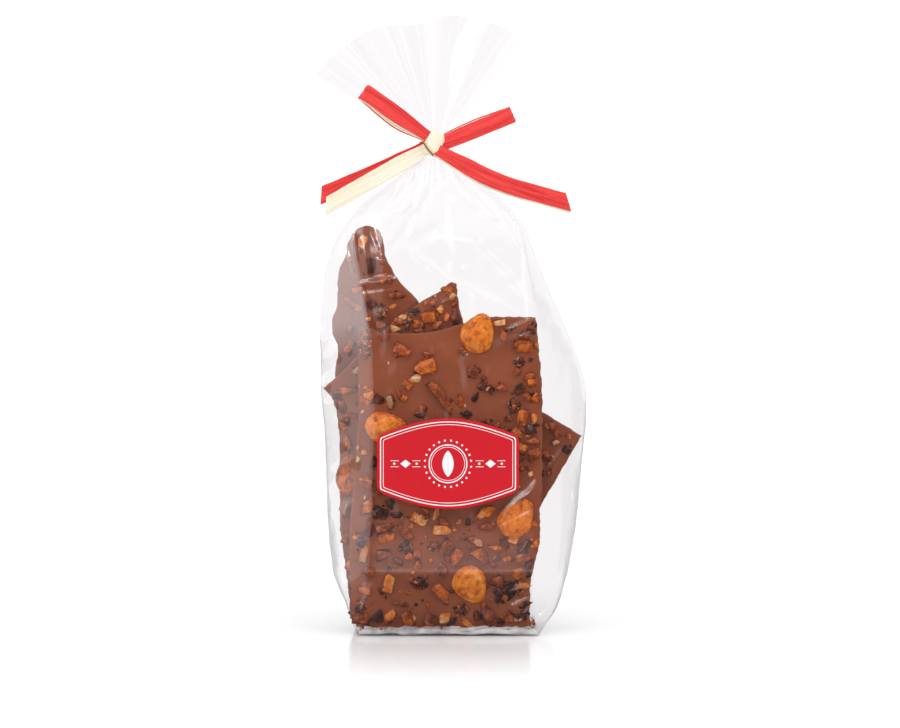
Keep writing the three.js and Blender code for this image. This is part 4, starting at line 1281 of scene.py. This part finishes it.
def make_label():
    """The label as a thin closed sheet on the front panel: columns closer at the ends, rows up each
    column."""
    u, v = np.meshgrid(np.linspace(-1, 1, 91), np.linspace(-1, 1, 41))
    x = np.sin(u * np.pi / 2) * LABEL["half_width"]
    z = LABEL["z"] + v * label_half_height(x)
    share = (x - silhouette(z, 3)) / (silhouette(z, 4) - silhouette(z, 3))
    wall = body_wall(np.zeros(x.shape, int), share, z)[..., 1]
    wave = 0.10 * ripple(np.stack([x, z], -1), 22.0, 81, 2)
    front = np.stack([x, wall - LABEL["gap"] - LABEL["thick"] + np.minimum(wave, 0.15), z], -1)
    back = front + [0, LABEL["thick"], 0]
    rows, columns = u.shape
    top = (rows - 1) * columns + np.arange(columns - 2, -1, -1)
    edge = np.concatenate([np.arange(columns), np.arange(1, rows) * columns + columns - 1, top,
                           np.arange(rows - 2, 0, -1) * columns])
    after = np.roll(edge, -1)
    count = rows * columns
    rim = np.stack([edge, edge + count, after + count, after], -1)
    faces = np.concatenate([grid_faces(rows, columns), grid_faces(rows, columns, start=count)[:, ::-1], rim])
    points = np.concatenate([front.reshape(-1, 3), back.reshape(-1, 3)])
    put_piece("label_paper", points, faces, label_material(), replaced=["label"])


# ---------------------------------------------------------------------------------------------- ribbon

RIBBON = {"width": 8.2, "pinched": 5.6, "thick": 0.35, "gap": 0.3}
KNOT = {"width": 9.4, "height": 13.4, "depth": 6.4, "tilt": 26, "y": -8.4}
# A painted shadow line under the wrap: a thin dark strip along its lower left edge, where its shade falls on
# the tail
KNOT_SHADOW_LINE = [(-12.5, -11.4, 247.2), (-10.6, -12.0, 243.9), (-7.2, -11.6, 240.0)]
LAYER = RIBBON["thick"] + RIBBON["gap"]
LOOPS = {
    "left": {"start": (-10.2, 249.8), "end": (-42.2, 272.2), "front": -13.5, "fold": -11, "back": -8.8,
             "root": -10.2, "slip": -2.2, "pinched": RIBBON["pinched"]},
    "right": {"start": (-4.6, 245.4), "end": (32.2, 260.6), "front": -13.2, "fold": -11, "back": -8.6,
              "root": -9, "slip": -1.0, "pinched": 7.2},
}
TAILS = {
    "left_cream": [(-9.0, -8.0, 244.6), (-22, -10, 237), (-36, -12.4, 229), (-61.1, -12.6, 214.7)],
    "left_red": [(-9.0, -7.2, 246.0), (-22, -8.4, 238.6), (-37, -10.2, 231.6), (-63.6, -10.6, 220.2)],
    "right_red": [(-6.0, -10.8, 243.4), (8.3, -13, 235.4), (19.7, -13.4, 229.5), (31.2, -14, 225),
                  (45.6, -13.4, 220.9), (60.4, -12.4, 216.8)],
}


def along_route(route, shares):
    """Points along a smooth route through places, by share of its chord length."""
    route = np.asarray(route, float)
    run = np.concatenate([[0], np.cumsum(np.linalg.norm(np.diff(route, axis=0), axis=1))])
    run /= run[-1]
    return np.stack([through(list(zip(run, route[:, axis])), shares) for axis in range(3)], -1)


def ribbon_piece(name, route, across_of, width_of, material, replaced, seed, offset=0.0, crease=0.0,
                 cut=0.0, rows=150):
    """A strip of paper along a route: each row runs once round its thin section, across the front and back
    again behind; fine lengthwise pleats and a slow wave lie across it. Its far end is cut slanting by a
    share of its width."""
    t = np.linspace(0, 1, rows)
    middle = along_route(route, t)
    tangent = unit(np.gradient(middle, axis=0))
    across = unit(across_of(t, tangent))
    normal = unit(np.cross(tangent, across))
    half_columns = 19
    v = np.linspace(-0.5, 0.5, half_columns)
    run = t * np.linalg.norm(np.diff(middle, axis=0), axis=1).sum()
    place = np.stack(np.meshgrid(v * 9, run, indexing="xy"), -1)
    pleat = 0.16 * ripple(place * [1, 0.10], 3.4, seed, 2)
    pleat = pleat + 0.30 * ripple(place * [0.5, 0.6], 26.0, seed + 1, 2)
    pleat = np.clip(pleat, -0.42, 0.42) * smooth(t, 0.0, 0.08)[:, None]
    pleat -= crease * np.exp(-(((v - 0.12) / 0.07) ** 2))[None, :] * smooth(t, 0.05, 0.3)[:, None]
    edge = 1 + 0.012 * ripple(run[:, None] + np.zeros((rows, 1)), 17.0, seed + 2, 2)
    wide = (width_of(t) * edge)[:, None, None]
    mid = middle[:, None] + across[:, None] * (v[None, :, None] * wide)
    mid += normal[:, None] * (pleat[..., None] + offset)
    mid += tangent[:, None] * (v[None, :, None] * RIBBON["width"] * cut * smooth(t, 0.8, 1)[:, None, None])
    half = RIBBON["thick"] / 2
    loop = np.concatenate([mid - normal[:, None] * half, (mid + normal[:, None] * half)[:, ::-1]], axis=1)
    start_cap, end_cap = (np.concatenate([end, end[:, ::-1]], axis=1) for end in (mid[:1], mid[-1:]))
    points = np.concatenate([start_cap, loop, end_cap])
    total_rows, columns = points.shape[:2]
    faces = grid_faces(total_rows, columns, wrapped=True)
    piece = put_piece(name, points.reshape(-1, 3), faces, material, replaced=replaced)
    lengthwise_uv(piece, route)
    face_outwards(piece)


def lengthwise_uv(piece, route):
    """UV in metres: along the strip and across it, measured from the straight line between the route's
    ends."""
    mesh = piece.data
    count = len(mesh.vertices)
    place = np.empty(count * 3, np.float32)
    mesh.vertices.foreach_get("co", place)
    place = place.reshape(-1, 3)
    route = np.asarray(route, float) * MM
    far = route[np.argmax(np.linalg.norm(route - route[0], axis=1))]
    line = unit(far - route[0])
    beside = unit(np.cross([0, 1, 0], line))
    along = (place - route[0]) @ line
    across = (place - route[0]) @ beside + 0.3 * (place[:, 1] - route[0, 1])
    corners = np.empty(len(mesh.loops), np.int32)
    mesh.loops.foreach_get("vertex_index", corners)
    layer = mesh.uv_layers.new(name="UVMap")
    layer.data.foreach_set("uv", np.stack([along, across], -1)[corners].ravel())


def loop_route(loop):
    """A loop pressed flat: out along the front, round the fold and back behind, hanging a little to one
    side."""
    start, end = (np.array([loop[place][0], 0, loop[place][1]]) for place in ("start", "end"))
    along = end - start
    side = unit(np.cross([0, 1, 0], along))

    def place(share, y, shift):
        spot = start + along * share + side * shift * loop["slip"]
        spot[1] = y
        return spot

    return [place(0, loop["root"], 0), place(0.3, lerp(loop["root"], loop["front"], 0.75), 0),
            place(0.65, loop["front"], 0), place(0.97, loop["fold"] - 0.9, 0), place(1, loop["fold"], 0.1),
            place(0.97, loop["fold"] + 0.9, 0.2), place(0.65, loop["back"], 0.9), place(0.3, loop["back"], 1),
            place(0, loop["root"] + 2 * LAYER + RIBBON["gap"] + 0.1, 0.2)], side


def make_ribbon():
    red = paper_material("red_paper", (0.58, 0.018, 0.017), (0.90, 0.062, 0.058), 0.08)
    cream = paper_material("cream_paper", (0.88, 0.74, 0.54), (0.96, 0.85, 0.70), 0.12)

    for index, (side_name, loop) in enumerate(LOOPS.items()):
        route, side = loop_route(loop)

        def red_width(t):
            return lerp(loop["pinched"], RIBBON["width"], smooth(np.minimum(t, 1 - t) * 4, 0, 1))

        def cream_width(t):
            return red_width(t) * (1 - 0.15 * smooth(t, 0.5, 0.6))  # the red strip shows along it behind

        def across_of(t, tangent):
            return np.broadcast_to(side, tangent.shape)

        layers = (("red", red, 0.0, red_width), ("cream", cream, LAYER, cream_width))
        for colour_name, material, offset, width_of in layers:
            ribbon_piece(f"bow_{side_name}_loop_{colour_name}", route, across_of, width_of, material,
                         [f"loop_{side_name}_{colour_name}"], 200 + 20 * index,
                         offset, rows=240)

    def tail(side_name, colour_name, route, turn, cut, material, seed, offset=0.0, drop=0.0, crease=0.0):
        route = [(x, y, z - drop) for x, y, z in route]

        def across_of(t, tangent):
            flat = unit(np.cross([0, 1, 0], tangent))
            lean = np.radians(turn * smooth(t, 0, 0.5))[:, None]
            return flat * np.cos(lean) + np.cross(tangent, flat) * np.sin(lean)

        def width_of(t):
            return lerp(RIBBON["pinched"], RIBBON["width"], smooth(t, 0, 0.3))

        ribbon_piece(f"bow_{side_name}_tail_{colour_name}", route, across_of, width_of, material,
                     [f"tail_{side_name}_{colour_name}"], seed, offset, crease, cut)

    tail("left", "cream", TAILS["left_cream"], 0, -0.58, cream, 260)
    tail("left", "red", TAILS["left_red"], 6, -0.52, red, 262)
    tail("right", "red", TAILS["right_red"], -10, 0.6, red, 264, crease=0.7)
    tail("right", "cream", TAILS["right_red"], -10, 0.6, cream, 266, LAYER, 1.0)
    make_knot(cream)
    # painted shadow: a thin dark strip of paper along the wrap's lower left edge
    shade = paper_material("cream_paper_shade", (0.22, 0.11, 0.02), (0.42, 0.26, 0.07), 0.0)
    ribbon_piece("bow_knot_shadow_line", KNOT_SHADOW_LINE, lambda t, tangent: unit(np.cross([0, 1, 0], tangent)),
                 lambda t: 0.9 + 0 * t, shade, [], 268, rows=40)


def make_knot(material):
    """The cream wrap over the crossing: a rounded block with a few slanting folds where the paper was
    pulled."""
    rays, quads = cube_directions(30)

    def rounded(value, power):
        return np.sign(value) * np.abs(value) ** power

    x = rounded(rays[:, 0], 0.55) * KNOT["width"] / 2
    z = rounded(rays[:, 2], 0.7) * KNOT["height"] / 2
    y = rounded(rays[:, 1], 0.7) * KNOT["depth"] / 2
    body = np.stack([x, y, z], -1)
    folds = 0.035 * np.abs(np.sin(body[:, 2] * 0.9 + body[:, 0] * 0.7))
    body *= (1 - folds - 0.02 * ripple(body, 6.0, 91, 2))[:, None]
    a = math.radians(KNOT["tilt"])
    turned = np.stack([body[:, 0] * math.cos(a) + body[:, 2] * math.sin(a), body[:, 1],
                       -body[:, 0] * math.sin(a) + body[:, 2] * math.cos(a)], -1)
    points = turned + [NECK[0], KNOT["y"], NECK[2]]
    piece = put_piece("bow_knot", points, quads, material, replaced=["knot_cream"])
    lengthwise_uv(piece, [(NECK[0] - 2, KNOT["y"], NECK[2] - 8), (NECK[0] + 2, KNOT["y"], NECK[2] + 8)])


def dress_neck_band():
    """The red turn of ribbon behind the knot keeps its solid and gets paper of its own, fibres running
    round."""
    material, tree = new_material("red_paper_band")
    place = object_place(tree, scale=(260, 260, 1400))
    fibre = noise(tree, place, 1.0, detail=4, roughness=0.6)
    colour = ramp(tree, fibre, [(0.3, (0.60, 0.024, 0.020)), (0.7, (0.84, 0.07, 0.06))])
    normal = bump(tree, fibre, 0.5, 0.0005)
    shader = add(tree, "ShaderNodeBsdfPrincipled", inputs={
        "Base Color": colour, "Roughness": 0.7, "Normal": normal})
    finish_material(tree, shader.outputs[0])
    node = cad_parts["neck_band_red"]
    node.data.materials.clear()
    node.data.materials.append(material)


# ---------------------------------------------------------------------------------------------- studio

# How bright the surroundings are to the camera, to matt surfaces, and in reflections on each side
STUDIO = {"seen": 1.10, "matt": 0.62, "left": 1.0, "left_high": 5.0, "front": 0.02, "front_high": 0.6,
          "behind": 1.04, "above": 0.8}
VIEW = {"distance": 1.60, "elevation": 3.0, "aim": (0.001, -0.02, 0.136), "mm_per_pixel": 0.5, "pixels": 900,
        "sensor": 36.0}


def make_camera():
    """The camera looks from the front, a little above, from far enough that the picture is nearly flat."""
    camera = bpy.data.cameras.new("camera")
    camera.sensor_width = VIEW["sensor"]
    camera.lens = VIEW["sensor"] * VIEW["distance"] / (VIEW["pixels"] * VIEW["mm_per_pixel"] * MM)
    camera.clip_end = 50
    seat = bpy.data.objects.new("camera", camera)
    bpy.context.scene.collection.objects.link(seat)
    e = math.radians(VIEW["elevation"])
    aim = np.array(VIEW["aim"])
    seat.location = aim + VIEW["distance"] * np.array([0, -math.cos(e), math.sin(e)])
    seat.rotation_euler = (math.pi / 2 - e, 0, 0)
    bpy.context.scene.camera = seat


def make_light(name, size, power, place, aim=(0, 0, 0.13), shows=True):
    light = bpy.data.lights.new(name, "AREA")
    light.shape = "RECTANGLE"
    light.size, light.size_y = size
    light.energy = power
    lamp = bpy.data.objects.new(name, light)
    bpy.context.scene.collection.objects.link(lamp)
    lamp.location = place
    away = unit(np.array(place, float) - np.array(aim, float))
    yaw = math.atan2(away[0], -away[1])
    lamp.rotation_euler = (math.pi / 2 - math.asin(away[2]), 0, yaw)
    lamp.visible_glossy = shows


def make_world():
    """White to the camera and an even soft white to matt surfaces; in reflections, white behind and on the
    left, brighter higher up there, and nearly dark round the camera and on the right, which keeps the film
    clear."""
    world = bpy.data.worlds.new("studio")
    bpy.context.scene.world = world
    world.use_nodes = True
    tree = world.node_tree
    tree.nodes.clear()
    ray = add(tree, "ShaderNodeTexCoord").outputs["Generated"]
    split = add(tree, "ShaderNodeSeparateXYZ", inputs={"Vector": ray})
    x, y, z = (split.outputs[axis] for axis in "XYZ")

    def blend(first, second, share):
        made = add(tree, "ShaderNodeMix", data_type="FLOAT", inputs={0: share, 2: first, 3: second})
        return made.outputs[0]

    higher = smooth_step(tree, z, 0.20, 0.44)
    left = blend(STUDIO["left"], STUDIO["left_high"], higher)
    front = blend(STUDIO["front"], STUDIO["front_high"], higher)
    sides = blend(left, front, smooth_step(tree, x, -0.42, -0.12))
    around = blend(sides, STUDIO["behind"], smooth_step(tree, y, 0.15, 0.5))
    above = blend(around, STUDIO["above"], smooth_step(tree, z, 0.45, 0.8))
    rays = add(tree, "ShaderNodeLightPath")
    reflected = blend(STUDIO["matt"], above, rays.outputs["Is Glossy Ray"])
    strength = blend(reflected, STUDIO["seen"], rays.outputs["Is Camera Ray"])
    shade = add(tree, "ShaderNodeBackground", inputs={"Color": (1, 1, 1, 1), "Strength": strength})
    tree.links.new(shade.outputs[0], add(tree, "ShaderNodeOutputWorld").inputs["Surface"])


def make_floor():
    """A wide pale floor with a faint reflection."""
    mesh = bpy.data.meshes.new("floor")
    side, front, back = 2.2, -0.42, 3.5  # it ends before the bag's own reflection would show it
    corners = [(-side, front, 0), (side, front, 0), (side, back, 0), (-side, back, 0)]
    mesh.from_pydata(corners, [], [(0, 1, 2, 3)])
    floor = bpy.data.objects.new("floor", mesh)
    bpy.context.scene.collection.objects.link(floor)
    material, tree = new_material("pale_floor")
    matte = add(tree, "ShaderNodeBsdfDiffuse", inputs={"Color": (0.95, 0.95, 0.955, 1)})
    sheen = add(tree, "ShaderNodeBsdfGlossy", inputs={"Color": (1, 1, 1, 1), "Roughness": 0.16})
    mixed = add(tree, "ShaderNodeMixShader", inputs={0: 0.45, 1: matte.outputs[0], 2: sheen.outputs[0]})
    dim = add(tree, "ShaderNodeBsdfDiffuse", inputs={"Color": (0.07, 0.07, 0.07, 1)})
    reflected = add(tree, "ShaderNodeLightPath").outputs["Is Glossy Ray"]
    place = add(tree, "ShaderNodeTexCoord").outputs["Object"]
    away = add(tree, "ShaderNodeVectorMath", operation="LENGTH", inputs={0: place}).outputs["Value"]
    far = smooth_step(tree, away, 0.02, 0.23)
    white = add(tree, "ShaderNodeEmission", inputs={"Strength": STUDIO["seen"]})
    fading = add(tree, "ShaderNodeMixShader", inputs={0: far, 1: mixed.outputs[0], 2: white.outputs[0]})
    seen = add(tree, "ShaderNodeMixShader", inputs={0: reflected, 1: fading.outputs[0], 2: dim.outputs[0]})
    finish_material(tree, seen.outputs[0])
    mesh.materials.append(material)


make_camera()
make_world()
make_light("softbox_left", (1.0, 1.3), 3.6, (-1.3, -0.8, 0.55), shows=False)
make_light("strip_left", (0.10, 0.6), 3.4, (-1.1, -1.15, 1.0))
make_light("strip_top", (1.2, 0.10), 3.4, (0.1, -0.95, 1.3))
make_light("softbox_right", (1.0, 1.3), 6.6, (1.3, -0.8, 0.55), shows=False)
make_light("softbox_top", (1.6, 1.2), 6.6, (0, -0.2, 1.5), shows=False)
make_floor()
make_bark()
make_bottom_folds()
make_film()
make_label()
make_ribbon()
dress_neck_band()
bpy.context.scene.view_settings.view_transform = "Standard"
